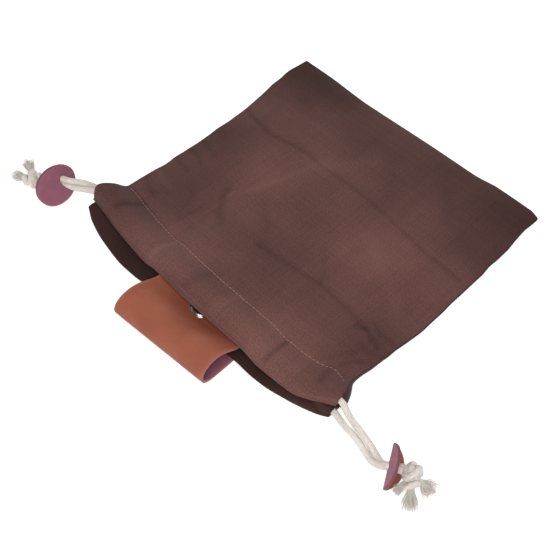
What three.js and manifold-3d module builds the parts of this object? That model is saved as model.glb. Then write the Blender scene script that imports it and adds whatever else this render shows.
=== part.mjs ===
// Drawstring foraging bag of brown canvas, lying flat with its mouth towards -Y.
// X runs along the mouth, Y from the mouth to the bottom seam and Z up, in millimetres.
// Each panel is one sheet whose mouth end is folded over into a hem tunnel for a cord, and a
// leather strap folded round the back panel's mouth edge makes a belt loop.
import * as THREE from 'three';
import { LoftGeometry } from 'three/addons/geometries/LoftGeometry.js';
import { mergeVertices } from 'three/addons/utils/BufferGeometryUtils.js';
import Module from 'manifold-3d';

const wasm = await Module();
wasm.setup();

// Driving dimensions
const BAG_WIDTH = 250;
const BAG_LENGTH = 250;
const CLOTH = 1.2;
const SEAM_GAP = 0.3;
const HEM_DEPTH = 30;
const MOUTH_BOW = 18;
const SIDE_PULL = 9;
const PUFF = 6;
const BOTTOM_DIP = 3.5;
const CORD = 4.5;
const TUNNEL_PLAY = 0.6;
const LAY_PLAY = 0.6;

const LEATHER = 2;
const STRAP_WIDTH = 81.4;
const STRAP_CENTRE = 6.2;
const LOOP_REACH = 43;
const REACH_TAPER = 0.06;
const LOOP_HEIGHT = 22.5;
const HEIGHT_TAPER = 0.05;
const UPPER_TAB = 8;
const LOWER_FLAP = 18;
const SADDLE_RISE = 5.2;
const DRAPE = 15;
const DRAPE_MARGIN = 3;

const CAP_DIAMETER = 15;
const CAP_HEIGHT = 2.2;
const POST_DIAMETER = 4;
const SOCKET_DIAMETER = 11;
const SOCKET_THICKNESS = 0.9;
const POST_CLEARANCE = 0.4;
const SNAP_IN = 5;
const SNAP_ASIDE = 1.7;

const STOPPER_DIAMETER = 34;
const STOPPER_THICKNESS = 2;
const SLOT_CLEARANCE = 0.6;
const BEND_REACH = 6;
const KNOT_WIDTH = 14;
const KNOT_LENGTH = 18;
const TUFT_LENGTH = 17;
const TUFT_WIDTH = 6.5;

const STRAND_GAP = 0.3;
const CORD_SIDES = 8;
const HEM_CORD_STEPS = 20;

// How wide the cloth swells to each side of a cord, and how far it stays flat over the cord
const FRONT_SWELL = HEM_DEPTH * 0.42;
const BACK_SWELL = HEM_DEPTH * 0.17;
const SWELL_FLAT = CORD * 0.3;
const MIN_STEP = 0.1;

// Heights that follow from the stack of cloth, cord and leather
const FOLD = CLOTH + SEAM_GAP;
const CORD_ROOM = CORD + 2 * TUNNEL_PLAY;
const HEM_HEIGHT = 2 * CLOTH + CORD_ROOM;
const LIFT = LEATHER + SEAM_GAP;
const SADDLE = LIFT + 2 * CLOTH + 2 * SEAM_GAP;
const SADDLE_TOP = SADDLE + LEATHER;
const UNDER_PLAIN = HEM_HEIGHT + SEAM_GAP + LAY_PLAY;
const CAP_TOP = SADDLE_TOP + SEAM_GAP + CAP_HEIGHT;
const STACK_TOP = Math.max( SADDLE_TOP + SADDLE_RISE, LIFT + HEM_HEIGHT, CAP_TOP );
const UNDER_ON_STRAP = STACK_TOP + SEAM_GAP + LAY_PLAY;
const SNAP_X = STRAP_CENTRE - SNAP_ASIDE;
const SNAP_Y = -SNAP_IN;
const SOCKET_UNDER = ( LEATHER - SOCKET_THICKNESS ) / 4;
const SOCKET_TOP = SOCKET_UNDER + SOCKET_THICKNESS;

// How far the bottom edge is pulled in, in shares of BOTTOM_DIP, a row for each place across it.
const BOTTOM = [
	{ across: -1.00, dip: 0.10 },
	{ across: -0.78, dip: 0.20 },
	{ across: -0.55, dip: 0.75 },
	{ across: -0.42, dip: 1.00 },
	{ across: 0.20, dip: 0.70 },
	{ across: 0.50, dip: 0.75 },
	{ across: 0.70, dip: 0.00 },
	{ across: 0.95, dip: 0.15 },
	{ across: 1.00, dip: 0.90 },
];

// How the two mouth edges and their cords run across the bag, a row for each place across it.
// across is a share of the half width; the edges are shares of MOUTH_BOW towards the bottom seam
// and the cords are shares of HEM_DEPTH from their edge.
const MOUTH = [
	{ across: -1.00, frontEdge: 0.28, backEdge: 0.00, frontCord: 0.17, backCord: 0.58 },
	{ across: -0.90, frontEdge: 0.16, backEdge: -0.38, frontCord: 0.28, backCord: 0.72 },
	{ across: -0.72, frontEdge: -0.12, backEdge: -0.76, frontCord: 0.36, backCord: 0.78 },
	{ across: -0.50, frontEdge: -0.36, backEdge: -0.98, frontCord: 0.40, backCord: 0.82 },
	{ across: -0.25, frontEdge: -0.52, backEdge: -0.95, frontCord: 0.40, backCord: 0.82 },
	{ across: 0.05, frontEdge: -0.61, backEdge: -0.90, frontCord: 0.40, backCord: 0.82 },
	{ across: 0.40, frontEdge: -0.63, backEdge: -0.90, frontCord: 0.40, backCord: 0.82 },
	{ across: 0.60, frontEdge: -0.61, backEdge: -0.85, frontCord: 0.40, backCord: 0.75 },
	{ across: 0.77, frontEdge: -0.52, backEdge: -0.64, frontCord: 0.38, backCord: 0.60 },
	{ across: 0.87, frontEdge: -0.25, backEdge: -0.45, frontCord: 0.32, backCord: 0.42 },
	{ across: 0.94, frontEdge: 0.02, backEdge: -0.28, frontCord: 0.26, backCord: 0.26 },
	{ across: 1.00, frontEdge: 0.22, backEdge: -0.08, frontCord: 0.155, backCord: 0.16 },
];

// How the front hem hangs towards its ends: settle is the share of its height above the surface
// that it loses by its stitch line, droop and swell are shares of HEM_HEIGHT.
const HANG = [
	{ across: -1.00, droop: 0.50, settle: 0.62, swell: 0.36 },
	{ across: -0.90, droop: 0.35, settle: 0.42, swell: 0.18 },
	{ across: -0.72, droop: 0.15, settle: 0.15, swell: 0.05 },
	{ across: -0.50, droop: 0.05, settle: 0.00, swell: 0.00 },
	{ across: -0.25, droop: 0.00, settle: 0.00, swell: 0.00 },
	{ across: 0.60, droop: 0.00, settle: 0.00, swell: 0.00 },
	{ across: 0.77, droop: 0.08, settle: 0.05, swell: 0.00 },
	{ across: 0.87, droop: 0.12, settle: 0.15, swell: 0.00 },
	{ across: 0.94, droop: 0.06, settle: 0.32, swell: 0.00 },
	{ across: 1.00, droop: 0.00, settle: 0.55, swell: 0.00 },
];

// How far each side edge is pulled in, in shares of SIDE_PULL, a row for each share of the length.
const SIDES = [
	{ along: -0.10, left: 0.00, right: 0.45 },
	{ along: 0.04, left: 0.05, right: 0.40 },
	{ along: 0.12, left: 0.75, right: 1.00 },
	{ along: 0.20, left: 0.88, right: 0.85 },
	{ along: 0.30, left: 0.92, right: 0.45 },
	{ along: 0.42, left: 0.84, right: 0.20 },
	{ along: 0.62, left: 0.80, right: 0.06 },
	{ along: 0.74, left: 0.48, right: 0.00 },
	{ along: 0.92, left: -0.10, right: 0.08 },
	{ along: 0.98, left: 0.00, right: 0.04 },
	{ along: 1.00, left: 0.05, right: 0.30 },
];

// The front panel's rise over the back one, in shares of PUFF, a row for each share of the way
// from the stitch line to the bottom seam; the dip past the middle is a fold crease.
const BODY = [
	{ along: 1.00, rise: 0.00 },
	{ along: 0.975, rise: 0.30 },
	{ along: 0.93, rise: 0.66 },
	{ along: 0.84, rise: 0.92 },
	{ along: 0.70, rise: 1.00 },
	{ along: 0.645, rise: 0.86 },
	{ along: 0.59, rise: 1.04 },
	{ along: 0.42, rise: 1.06 },
	{ along: 0.26, rise: 1.18 },
	{ along: 0.12, rise: 1.30 },
];
const BODY_BLEND = 0.30;
const DOME_POWER = 5;

// The back panel's sections, closer together where it comes down from the strap
const BACK_BODY = [ 1, 0.8, 0.6, 0.42, 0.3, 0.2, 0.13, 0.075, 0.03 ];

// The strap's centre line from the snap round the loop to the surface: out is a share of
// LOOP_REACH from the snap towards -Y, up a share of LOOP_HEIGHT less the strap's own thickness,
// and side how much higher it is at the strap's sides, a share of SADDLE_RISE.
const LOOP = [
	{ out: 0.22, up: 0.36, side: 1.10 },
	{ out: 0.34, up: 0.58, side: 0.88 },
	{ out: 0.46, up: 0.80, side: 0.58 },
	{ out: 0.60, up: 0.96, side: 0.40 },
	{ out: 0.77, up: 0.98, side: 0.21 },
	{ out: 0.92, up: 0.77, side: 0.29 },
	{ out: 0.975, up: 0.46, side: 0.25 },
	{ out: 0.93, up: 0.17, side: 0.00 },
	{ out: 0.80, up: 0.02, side: 0.00 },
	{ out: 0.62, up: 0.00, side: 0.00 },
];
const LOOP_BACK = 0.30;

// The snap's cap from its rim to its top and a frayed end from the knot to its tip, as shares
const CAP_PROFILE = [
	{ out: 1.00, up: 0.00 },
	{ out: 1.00, up: 0.30 },
	{ out: 0.86, up: 0.66 },
	{ out: 0.50, up: 0.93 },
	{ out: 0.00, up: 1.00 },
];
const TUFT_PROFILE = [
	{ out: 0.00, up: 0.00 },
	{ out: 0.70, up: 0.00 },
	{ out: 0.72, up: 0.45 },
	{ out: 0.95, up: 0.75 },
	{ out: 1.00, up: 0.93 },
	{ out: 0.00, up: 1.00 },
];

// The cords outside the hems, each a list of x, y, z chosen by hand from the stopper's far side
const FRONT_CORD_LEFT = [
	[ -160.2, -11.6, 11.4 ], [ -154.0, -6.8, 13.4 ], [ -148.9, -3.9, 14.8 ], [ -144.8, -3.6, 15.8 ],
	[ -140.6, -3.0, 16.0 ], [ -136.5, -0.7, 15.0 ], [ -130.4, 5.2, 13.2 ],
];
const FRONT_CORD_RIGHT = [
	[ 130.6, 6.6, 8.6 ], [ 143.7, 3.7, 7.0 ], [ 153.5, 1.4, 6.8 ], [ 161.5, -1.4, 6.1 ],
	[ 167.0, -2.8, 6.2 ], [ 171.6, -1.2, 7.7 ], [ 176.0, 0.9, 9.3 ], [ 179.5, 3.2, 11.3 ],
];
const BACK_CORD_LEFT = [
	[ -160.8, -11.2, 16.4 ], [ -155.0, -6.8, 18.2 ], [ -150.2, -4.3, 19.5 ], [ -146.0, -4.2, 20.5 ],
	[ -142.0, -3.0, 20.9 ], [ -138.4, 0.4, 19.9 ], [ -134.2, 6.6, 16.4 ], [ -129.4, 13.9, 9.4 ],
];
const BACK_CORD_RIGHT = [
	[ 130.0, 1.2, 4.4 ], [ 144.1, -0.8, 4.3 ], [ 153.9, -3.4, 4.3 ], [ 161.0, -6.4, 6.3 ],
	[ 167.0, -6.7, 9.4 ], [ 171.6, -4.4, 11.3 ], [ 176.0, -2.6, 12.9 ], [ 180.5, -1.0, 13.7 ],
];

// Where each stopper stands: its slot's middle, its turns and how far each half is folded, in
// degrees, its size, a share of the diameter, how far the slot is off its middle, a share of its
// radius, and the slot's own turn from the fold, in degrees
const STOPPERS = [
	{
		name: 'stopper_left', x: -145.4, y: -3.9, z: 18.1, tip: 7, lean: -13, turn: 2,
		fold: 4, size: 1, off: 0.38, slot: 0,
	},
	{
		name: 'stopper_right', x: 171.6, y: -2.8, z: 9.5, tip: 108.4, lean: 26.7, turn: -168.8,
		fold: 37, size: 0.88, off: 0.12, slot: 69,
	},
];

// Where each knot lies: its centre, the way its length points, and a tuft for each frayed end
const KNOTS = [
	{
		name: 'knot_left', x: -167.5, y: -16.5, z: 12, toward: [ 0.35, 0.85, 0.40 ],
		tufts: [ { to: [ -186.5, -23, 6.5 ] }, { to: [ -186, -8.5, 11.5 ] } ],
	},
	{
		name: 'knot_right', x: 186.2, y: 2.2, z: 12, toward: [ -0.72, 0.51, 0.47 ],
		tufts: [ { to: [ 203, 6, 4.2 ] }, { to: [ 184.5, -13.5, 4.6 ] }, { to: [ 200, -14.5, 4.2 ] } ],
	},
];

const COLOURS = {
	canvas: 0x5f413c,
	leather: 0x94583f,
	suede: 0x8b5b6f,
	nickel: 0xc9c9c6,
	cotton: 0xded8d0,
};

const canvas = new THREE.MeshStandardMaterial( { color: COLOURS.canvas, roughness: 0.95, metalness: 0 } );
const leather = new THREE.MeshStandardMaterial( { color: COLOURS.leather, roughness: 0.55, metalness: 0 } );
const suede = new THREE.MeshStandardMaterial( { color: COLOURS.suede, roughness: 0.9, metalness: 0 } );
const nickel = new THREE.MeshStandardMaterial( { color: COLOURS.nickel, roughness: 0.18, metalness: 1 } );
const cotton = new THREE.MeshStandardMaterial( { color: COLOURS.cotton, roughness: 0.9, metalness: 0 } );

// A column's value between a table's rows, straight from row to row
function readTable( rows, key, at, column ) {

	const upward = rows[ 0 ][ key ] < rows[ rows.length - 1 ][ key ];
	const sorted = upward ? rows : [ ...rows ].reverse();
	let i = 0;
	while ( i < sorted.length - 2 && at > sorted[ i + 1 ][ key ] ) i ++;
	const low = sorted[ i ];
	const high = sorted[ i + 1 ];
	const share = THREE.MathUtils.clamp( ( at - low[ key ] ) / ( high[ key ] - low[ key ] ), 0, 1 );
	return THREE.MathUtils.lerp( low[ column ], high[ column ], share );

}

// The side edge's x at a distance y from the mouth's line
function sideX( y, across ) {

	const pull = readTable( SIDES, 'along', y / BAG_LENGTH, across < 0 ? 'left' : 'right' );
	return across * ( BAG_WIDTH / 2 - SIDE_PULL * pull );

}

// 1 over the strap, falling to 0 past its sides where the cloth comes down again
function drapeOver( x ) {

	const past = Math.abs( x - STRAP_CENTRE ) - STRAP_WIDTH / 2 - DRAPE_MARGIN;
	return 1 - THREE.MathUtils.smoothstep( past, 0, DRAPE );

}

// The swell of cloth over a cord: flat over the cord itself, down to nothing at its half width
function swellOver( distance, halfWidth ) {

	const past = ( Math.abs( distance ) - SWELL_FLAT ) / ( halfWidth - SWELL_FLAT );
	const share = THREE.MathUtils.clamp( past, 0, 1 );
	return Math.cos( share * Math.PI / 2 ) ** 2;

}

// One place across the mouth, with every length in millimetres
function mouthAt( across ) {

	const read = ( column ) => readTable( MOUTH, 'across', across, column );
	const hang = ( column ) => readTable( HANG, 'across', across, column );
	const frontEdge = MOUTH_BOW * read( 'frontEdge' );
	const backEdge = MOUTH_BOW * read( 'backEdge' );
	return {
		frontEdge,
		backEdge,
		frontCord: frontEdge + HEM_DEPTH * read( 'frontCord' ),
		backCord: backEdge + HEM_DEPTH * read( 'backCord' ),
		bottom: BAG_LENGTH - BOTTOM_DIP * readTable( BOTTOM, 'across', across, 'dip' ),
		frontStitch: frontEdge + HEM_DEPTH,
		backStitch: backEdge + HEM_DEPTH,
		settle: hang( 'settle' ),
		droop: HEM_HEIGHT * hang( 'droop' ),
		swell: HEM_HEIGHT * hang( 'swell' ),
	};

}

// Height of the back panel's middle plane: on the surface, lifted where the strap lies under it
function backHeight( x, y ) {

	const past = y - ( SNAP_Y + LOWER_FLAP ) - DRAPE_MARGIN;
	return CLOTH / 2 + LIFT * drapeOver( x ) * ( 1 - THREE.MathUtils.smoothstep( past, 0, DRAPE ) );

}

// Height of the middle plane of the front hem's inner layer
function frontHemHeight( x, y, mouth ) {

	const clearOfCord = Math.max( mouth.backCord, mouth.frontCord ) + CORD;
	const settled = mouth.settle * THREE.MathUtils.smoothstep( y, clearOfCord, mouth.frontStitch );
	const under = THREE.MathUtils.lerp( UNDER_PLAIN * ( 1 - settled ), UNDER_ON_STRAP, drapeOver( x ) );
	const away = ( y - mouth.frontEdge ) / ( HEM_DEPTH / 4 );
	return CLOTH / 2 + under - mouth.droop * ( 1 - THREE.MathUtils.smoothstep( away, 0, 1 ) );

}

// Each y at which a hem's layers have a point: along the cord's swell, then on to the fold
function hemStations( edge, cord, stitch, halfWidth ) {

	const seamSide = Math.min( halfWidth, stitch - cord );
	const foldSide = Math.min( halfWidth, cord - edge - FOLD ) - MIN_STEP;
	const seamPlaces = [ 1, 0.62, 0.32, 0 ].map( ( share ) => cord + seamSide * share );
	const foldPlaces = [ 0.32, 0.62, 1 ].map( ( share ) => cord - foldSide * share );
	return [ ...seamPlaces, ...foldPlaces, edge + FOLD ];

}

// The half circle of the fold, from the outer layer's height to the inner one's
function foldPoints( edge, outer, inner ) {

	const middle = ( outer + inner ) / 2;
	const radius = ( outer - inner ) / 2;
	return [ 0.25, 0.5, 0.75 ].map( ( share ) => {

		const angle = Math.PI * share;
		const y = edge + FOLD - ( FOLD - CLOTH / 2 ) * Math.sin( angle );
		return { y, z: middle + radius * Math.cos( angle ) };

	} );

}

// The front panel's middle line at one place across: bottom seam, body, outer hem, fold, inner hem
function frontLine( across ) {

	const mouth = mouthAt( across );
	const seam = CLOTH + SEAM_GAP + CLOTH / 2;
	const dome = 1 - Math.abs( across ) ** DOME_POWER;
	const foldSide = mouth.frontCord - mouth.frontEdge - FOLD;
	const lifted = CORD_ROOM - SEAM_GAP + mouth.swell;
	const layerGap = ( y ) => {

		const halfWidth = y < mouth.frontCord ? foldSide : FRONT_SWELL;
		return FOLD + lifted * swellOver( y - mouth.frontCord, halfWidth );

	};

	const hemInner = ( y ) => frontHemHeight( sideX( y, across ), y, mouth );
	const stitchHeight = hemInner( mouth.frontStitch ) + FOLD;
	const body = BODY.map( ( { along, rise } ) => {

		const y = THREE.MathUtils.lerp( mouth.frontStitch, mouth.bottom, along );
		const flat = seam + PUFF * rise * dome;
		const blend = THREE.MathUtils.smoothstep( along, 0, BODY_BLEND );
		return { y, z: THREE.MathUtils.lerp( stitchHeight, flat, blend ) };

	} );
	const stations = hemStations( mouth.frontEdge, mouth.frontCord, mouth.frontStitch, FRONT_SWELL );
	const sparse = stations.filter( ( y, i ) => i % 2 === 1 ).reverse();
	const outer = stations.map( ( y ) => ( { y, z: hemInner( y ) + layerGap( y ) } ) );
	const inner = sparse.map( ( y ) => ( { y, z: hemInner( y ) } ) );
	const fold = foldPoints( mouth.frontEdge, outer[ outer.length - 1 ].z, inner[ 0 ].z );
	const stitch = { y: mouth.frontStitch, z: stitchHeight };
	const cutEdge = { y: mouth.frontStitch, z: hemInner( mouth.frontStitch ) };
	return [ ...body, stitch, ...outer, ...fold, ...inner, cutEdge ];

}

// The back panel's middle line: bottom seam, body, outer hem on the surface, fold, inner hem
function backLine( across ) {

	const mouth = mouthAt( across );
	const lifted = CORD_ROOM - SEAM_GAP;
	const outerAt = ( y ) => backHeight( sideX( y, across ), y );
	const layerGap = ( y ) => FOLD + lifted * swellOver( y - mouth.backCord, BACK_SWELL );
	const body = BACK_BODY.map( ( along ) => {

		const y = THREE.MathUtils.lerp( mouth.backStitch, mouth.bottom, along );
		return { y, z: outerAt( y ) };

	} );
	const stations = hemStations( mouth.backEdge, mouth.backCord, mouth.backStitch, BACK_SWELL );
	const sparse = stations.filter( ( y, i ) => i % 2 === 1 );
	const outer = sparse.map( ( y ) => ( { y, z: outerAt( y ) } ) );
	const inner = [ ...stations ].reverse().map( ( y ) => ( { y, z: outerAt( y ) + layerGap( y ) } ) );
	const fold = foldPoints( mouth.backEdge, outer[ outer.length - 1 ].z, inner[ 0 ].z );
	const cutEdge = { y: mouth.backStitch, z: outerAt( mouth.backStitch ) + FOLD };
	return [ ...body, ...outer, ...fold, ...inner, cutEdge ];

}

// A closed outline of a sheet's thickness round a middle line of y and z
function sheetOutline( line, thickness ) {

	const sides = [ [], [] ];
	line.forEach( ( point, i ) => {

		const before = line[ Math.max( i - 1, 0 ) ];
		const after = line[ Math.min( i + 1, line.length - 1 ) ];
		const along = new THREE.Vector2( after.y - before.y, after.z - before.z ).normalize();
		const step = thickness / 2;
		sides[ 0 ].push( { y: point.y - along.y * step, z: point.z + along.x * step } );
		sides[ 1 ].push( { y: point.y + along.y * step, z: point.z - along.x * step } );

	} );
	return [ ...sides[ 1 ], ...sides[ 0 ].reverse() ];

}

// The places across the bag that have a section: close together at the ends and at the strap
function placesAcross( endSteps ) {

	const level = STRAP_WIDTH / 2 + DRAPE_MARGIN;
	const reaches = [ -level - DRAPE, -level, level, level + DRAPE ];
	const stops = reaches.map( ( reach ) => ( STRAP_CENTRE + reach ) / ( BAG_WIDTH / 2 ) );
	const places = [];
	for ( let i = 0; i < endSteps; i ++ ) {

		places.push( THREE.MathUtils.lerp( -1, stops[ 0 ], 1 - Math.cos( i / endSteps * Math.PI / 2 ) ) );

	}

	places.push( stops[ 0 ], ( stops[ 0 ] + stops[ 1 ] ) / 2, stops[ 1 ] );
	for ( let i = 1; i < 4; i ++ ) places.push( THREE.MathUtils.lerp( stops[ 1 ], stops[ 2 ], i / 4 ) );
	places.push( stops[ 2 ], ( stops[ 2 ] + stops[ 3 ] ) / 2, stops[ 3 ] );
	for ( let i = 1; i <= endSteps; i ++ ) {

		places.push( THREE.MathUtils.lerp( stops[ 3 ], 1, Math.sin( i / endSteps * Math.PI / 2 ) ) );

	}

	return places;

}

// A panel is lofted from its sections across the bag; at each side edge the outline closes onto its
// own middle line, so that the cut edge follows the edge's curve
function panelGeometry( lineAt, endSteps ) {

	const sectionAt = ( across, thickness ) => sheetOutline( lineAt( across ), thickness )
		.map( ( { y, z } ) => new THREE.Vector3( sideX( y, across ), y, z ) );
	const sections = placesAcross( endSteps ).map( ( across ) => sectionAt( across, CLOTH ) );
	return new LoftGeometry( [ sectionAt( -1, 0 ), ...sections, sectionAt( 1, 0 ) ], { closed: true } );

}

function toManifold( geometry ) {

	const bare = new THREE.BufferGeometry().copy( geometry );
	bare.deleteAttribute( 'normal' );
	bare.deleteAttribute( 'uv' );
	const merged = mergeVertices( bare, 1e-4 );
	const corners = [];
	for ( let i = 0; i < merged.index.count; i += 3 ) {

		const [ a, b, c ] = [ 0, 1, 2 ].map( ( k ) => merged.index.getX( i + k ) );
		if ( a !== b && b !== c && c !== a ) corners.push( a, b, c );

	}

	return new wasm.Manifold( new wasm.Mesh( {
		numProp: 3,
		vertProperties: new Float32Array( merged.attributes.position.array ),
		triVerts: new Uint32Array( corners ),
	} ) );

}

function fromManifold( solid ) {

	const mesh = solid.getMesh();
	const geometry = new THREE.BufferGeometry();
	const places = new Float32Array( mesh.vertProperties );
	geometry.setAttribute( 'position', new THREE.BufferAttribute( places, 3 ) );
	geometry.setIndex( new THREE.BufferAttribute( new Uint32Array( mesh.triVerts ), 1 ) );
	geometry.computeVertexNormals();
	return geometry;

}

function cut( geometry, ...tools ) {

	const solid = toManifold( geometry );
	return fromManifold( tools.reduce( ( left, tool ) => left.subtract( toManifold( tool ) ), solid ) );

}

function moved( geometry, matrix ) {

	return new THREE.BufferGeometry().copy( geometry ).applyMatrix4( matrix );

}

// An upright cylinder on the snap's axis
function snapCylinder( diameter, from, to ) {

	const geometry = new THREE.CylinderGeometry( diameter / 2, diameter / 2, to - from, 16 );
	geometry.rotateX( Math.PI / 2 );
	geometry.translate( SNAP_X, SNAP_Y, ( from + to ) / 2 );
	return geometry;

}

// The leather strap: flat under the back panel, round the loop and down to the snap's tab
function strapGeometry() {

	const halfWidth = STRAP_WIDTH / 2;
	const rows = 10;
	const sections = [];
	for ( let i = 0; i <= rows; i ++ ) {

		const x = THREE.MathUtils.lerp( -halfWidth, halfWidth, i / rows );
		const raise = SADDLE_RISE * THREE.MathUtils.smoothstep( Math.abs( x ), CAP_DIAMETER / 2, halfWidth );
		const reach = LOOP_REACH * ( 1 - REACH_TAPER * x / halfWidth );
		const height = LOOP_HEIGHT * ( 1 + HEIGHT_TAPER * x / halfWidth ) - LEATHER;
		const outline = sheetOutline( strapLine( raise, reach, height ), LEATHER );
		sections.push( outline.map( ( { y, z } ) => new THREE.Vector3( x, y, z ) ) );

	}

	const geometry = new LoftGeometry( sections, { closed: true, capStart: true, capEnd: true } );
	geometry.translate( STRAP_CENTRE, SNAP_Y, 0 );
	return geometry;

}

// The strap's middle line from the snap's tab to the end of the lower flap, y from the snap
function strapLine( raise, reach, height ) {

	const floor = LEATHER / 2;
	const tab = SADDLE + LEATHER / 2 + raise;
	const round = LOOP.map( ( { out, up, side } ) => {

		return new THREE.Vector3( 0, -reach * out, floor + height * up + raise * side );

	} );
	const tabEdge = new THREE.Vector3( 0, -CAP_DIAMETER / 2, tab );
	const curve = new THREE.CatmullRomCurve3( [ tabEdge, ...round ], false, 'centripetal' );
	const steps = 25;
	const bend = curve.getSpacedPoints( steps ).map( ( p ) => ( { y: p.y, z: Math.max( p.z, floor ) } ) );
	return [
		{ y: UPPER_TAB, z: tab },
		{ y: 0, z: tab },
		...bend,
		{ y: -reach * LOOP_BACK, z: floor },
		{ y: 0, z: floor },
		{ y: LOWER_FLAP, z: floor },
	];

}

// Domed cap, post and flat socket turned as one piece
function snapGeometry() {

	const cap = CAP_DIAMETER / 2;
	const post = POST_DIAMETER / 2;
	const socket = SOCKET_DIAMETER / 2;
	const capUnder = SADDLE_TOP + SEAM_GAP;
	const dome = CAP_PROFILE.map( ( { out, up } ) => {

		return new THREE.Vector2( cap * out, capUnder + CAP_HEIGHT * up );

	} );
	const profile = [
		new THREE.Vector2( 0, SOCKET_UNDER ),
		new THREE.Vector2( socket, SOCKET_UNDER ),
		new THREE.Vector2( socket, SOCKET_TOP ),
		new THREE.Vector2( post, SOCKET_TOP ),
		new THREE.Vector2( post, capUnder ),
		...dome,
	];
	const geometry = new THREE.LatheGeometry( profile, 20 );
	geometry.rotateX( Math.PI / 2 );
	geometry.translate( SNAP_X, SNAP_Y, 0 );
	return geometry;

}

// A round leather disc with its face towards +X and a slot for two cords along Z, off its middle.
// It is bent within BEND_REACH of the slot, its halves towards -X, and flat beyond.
function stopperGeometry( { fold, size, off, slot } ) {

	const halfFold = THREE.MathUtils.degToRad( fold );
	const bend = BEND_REACH / halfFold;
	const bent = ( a, b, depth ) => {

		const near = THREE.MathUtils.clamp( a, -BEND_REACH, BEND_REACH );
		const far = a - near;
		return new THREE.Vector3(
			( bend - depth ) * Math.cos( near / bend ) - bend - Math.abs( far ) * Math.sin( halfFold ),
			( bend - depth ) * Math.sin( near / bend ) + far * Math.cos( halfFold ),
			b,
		);

	};

	const radius = STOPPER_DIAMETER / 2 * size;
	const slotRadius = CORD / 2 + SLOT_CLEARANCE;
	const slotHalf = ( CORD + STRAND_GAP ) / 2;
	const slotTurn = THREE.MathUtils.degToRad( slot );
	const middle = new THREE.Vector2();
	const around = 28;
	const rings = [ 0, 0.2, 0.5, 1 ];
	const sections = [];
	for ( let i = 0; i <= around; i ++ ) {

		const angle = ( ( i % around ) + 0.5 ) / around * Math.PI * 2;
		const [ across, up ] = [ Math.cos( angle ), Math.sin( angle ) ];
		const hole = new THREE.Vector2( slotRadius * across, slotRadius * up + slotHalf * Math.sign( up ) );
		const rim = new THREE.Vector2( radius * across, radius * up ).rotateAround( middle, slotTurn );
		hole.rotateAround( middle, slotTurn );
		rim.x -= radius * off;
		const face = rings.map( ( share ) => hole.clone().lerp( rim, share ) );
		const near = face.map( ( p ) => bent( p.x, p.y, 0 ) );
		const far = face.reverse().map( ( p ) => bent( p.x, p.y, STOPPER_THICKNESS ) );
		sections.push( [ ...near, ...far ] );

	}

	return new LoftGeometry( sections, { closed: true } );

}

// The cord's route through its hem, on the tunnel's lower layer
function hemRoute( cordAt, heightAt ) {

	const route = [];
	for ( let i = 0; i <= HEM_CORD_STEPS; i ++ ) {

		const across = THREE.MathUtils.lerp( -1, 1, i / HEM_CORD_STEPS );
		const mouth = mouthAt( across );
		const y = cordAt( mouth );
		const x = sideX( y, across );
		route.push( new THREE.Vector3( x, y, heightAt( x, y, mouth ) + CLOTH / 2 + TUNNEL_PLAY + CORD / 2 ) );

	}

	return route;

}

// A cord is one tube along its route, with a step every few diameters
function cordGeometry( left, hem, right, diameter ) {

	const points = [
		...left.map( ( p ) => new THREE.Vector3( ...p ) ),
		...hem,
		...right.map( ( p ) => new THREE.Vector3( ...p ) ),
	];
	const path = new THREE.CatmullRomCurve3( points, false, 'centripetal' );
	const corners = [];
	for ( let i = 0; i < CORD_SIDES; i ++ ) {

		const angle = i / CORD_SIDES * Math.PI * 2;
		corners.push( new THREE.Vector2( Math.cos( angle ), Math.sin( angle ) ).multiplyScalar( diameter / 2 ) );

	}

	const section = new THREE.Shape( corners );
	const steps = Math.round( path.getLength() / ( 1.5 * CORD ) );
	return new THREE.ExtrudeGeometry( section, { steps, curveSegments: 1, extrudePath: path } );

}

// Points a shape made along +Y from one place towards another
function aim( geometry, from, to ) {

	const way = new THREE.Vector3().subVectors( to, from ).normalize();
	geometry.applyQuaternion( new THREE.Quaternion().setFromUnitVectors( new THREE.Vector3( 0, 1, 0 ), way ) );
	geometry.translate( from.x, from.y, from.z );
	return geometry;

}

// One frayed end: a lock that flares from the knot
function tuftGeometry( from, to ) {

	const length = from.distanceTo( to );
	const half = TUFT_WIDTH / 2;
	const profile = TUFT_PROFILE.map( ( { out, up } ) => new THREE.Vector2( half * out, length * up ) );
	return aim( new THREE.LatheGeometry( profile, 7 ), from, to );

}

// An overhand knot of two strands: a core, two slanting wraps and the frayed ends, fused
function knotGeometry( { x, y, z, toward, tufts }, cords ) {

	const centre = new THREE.Vector3( x, y, z );
	const way = new THREE.Vector3( ...toward ).normalize();
	const core = new THREE.SphereGeometry( 1, 10, 6 );
	core.scale( KNOT_WIDTH * 0.4, KNOT_LENGTH / 2, KNOT_WIDTH * 0.4 );
	let solid = toManifold( aim( core, centre, centre.clone().add( way ) ) );
	for ( const side of [ -1, 1 ] ) {

		const wrap = new THREE.TorusGeometry( KNOT_WIDTH / 2 - CORD / 2, CORD / 2, 6, 12 );
		wrap.rotateX( Math.PI / 2 + side * 0.45 );
		wrap.translate( 0, side * CORD * 0.55, 0 );
		solid = solid.add( toManifold( aim( wrap, centre, centre.clone().add( way ) ) ) );

	}

	for ( const { to } of tufts ) {

		const end = new THREE.Vector3( ...to );
		const start = centre.clone().lerp( end, 0.15 );
		const length = Math.min( start.distanceTo( end ), TUFT_LENGTH + KNOT_WIDTH / 2 );
		const tip = start.clone().add( end.sub( start ).setLength( length ) );
		solid = solid.add( toManifold( tuftGeometry( start, tip ) ) );

	}

	return fromManifold( cords.reduce( ( left, cord ) => left.subtract( toManifold( cord ) ), solid ) );

}

function addMesh( group, name, geometry, material ) {

	const mesh = new THREE.Mesh( geometry, material );
	mesh.name = name;
	group.add( mesh );
	return mesh;

}

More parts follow.
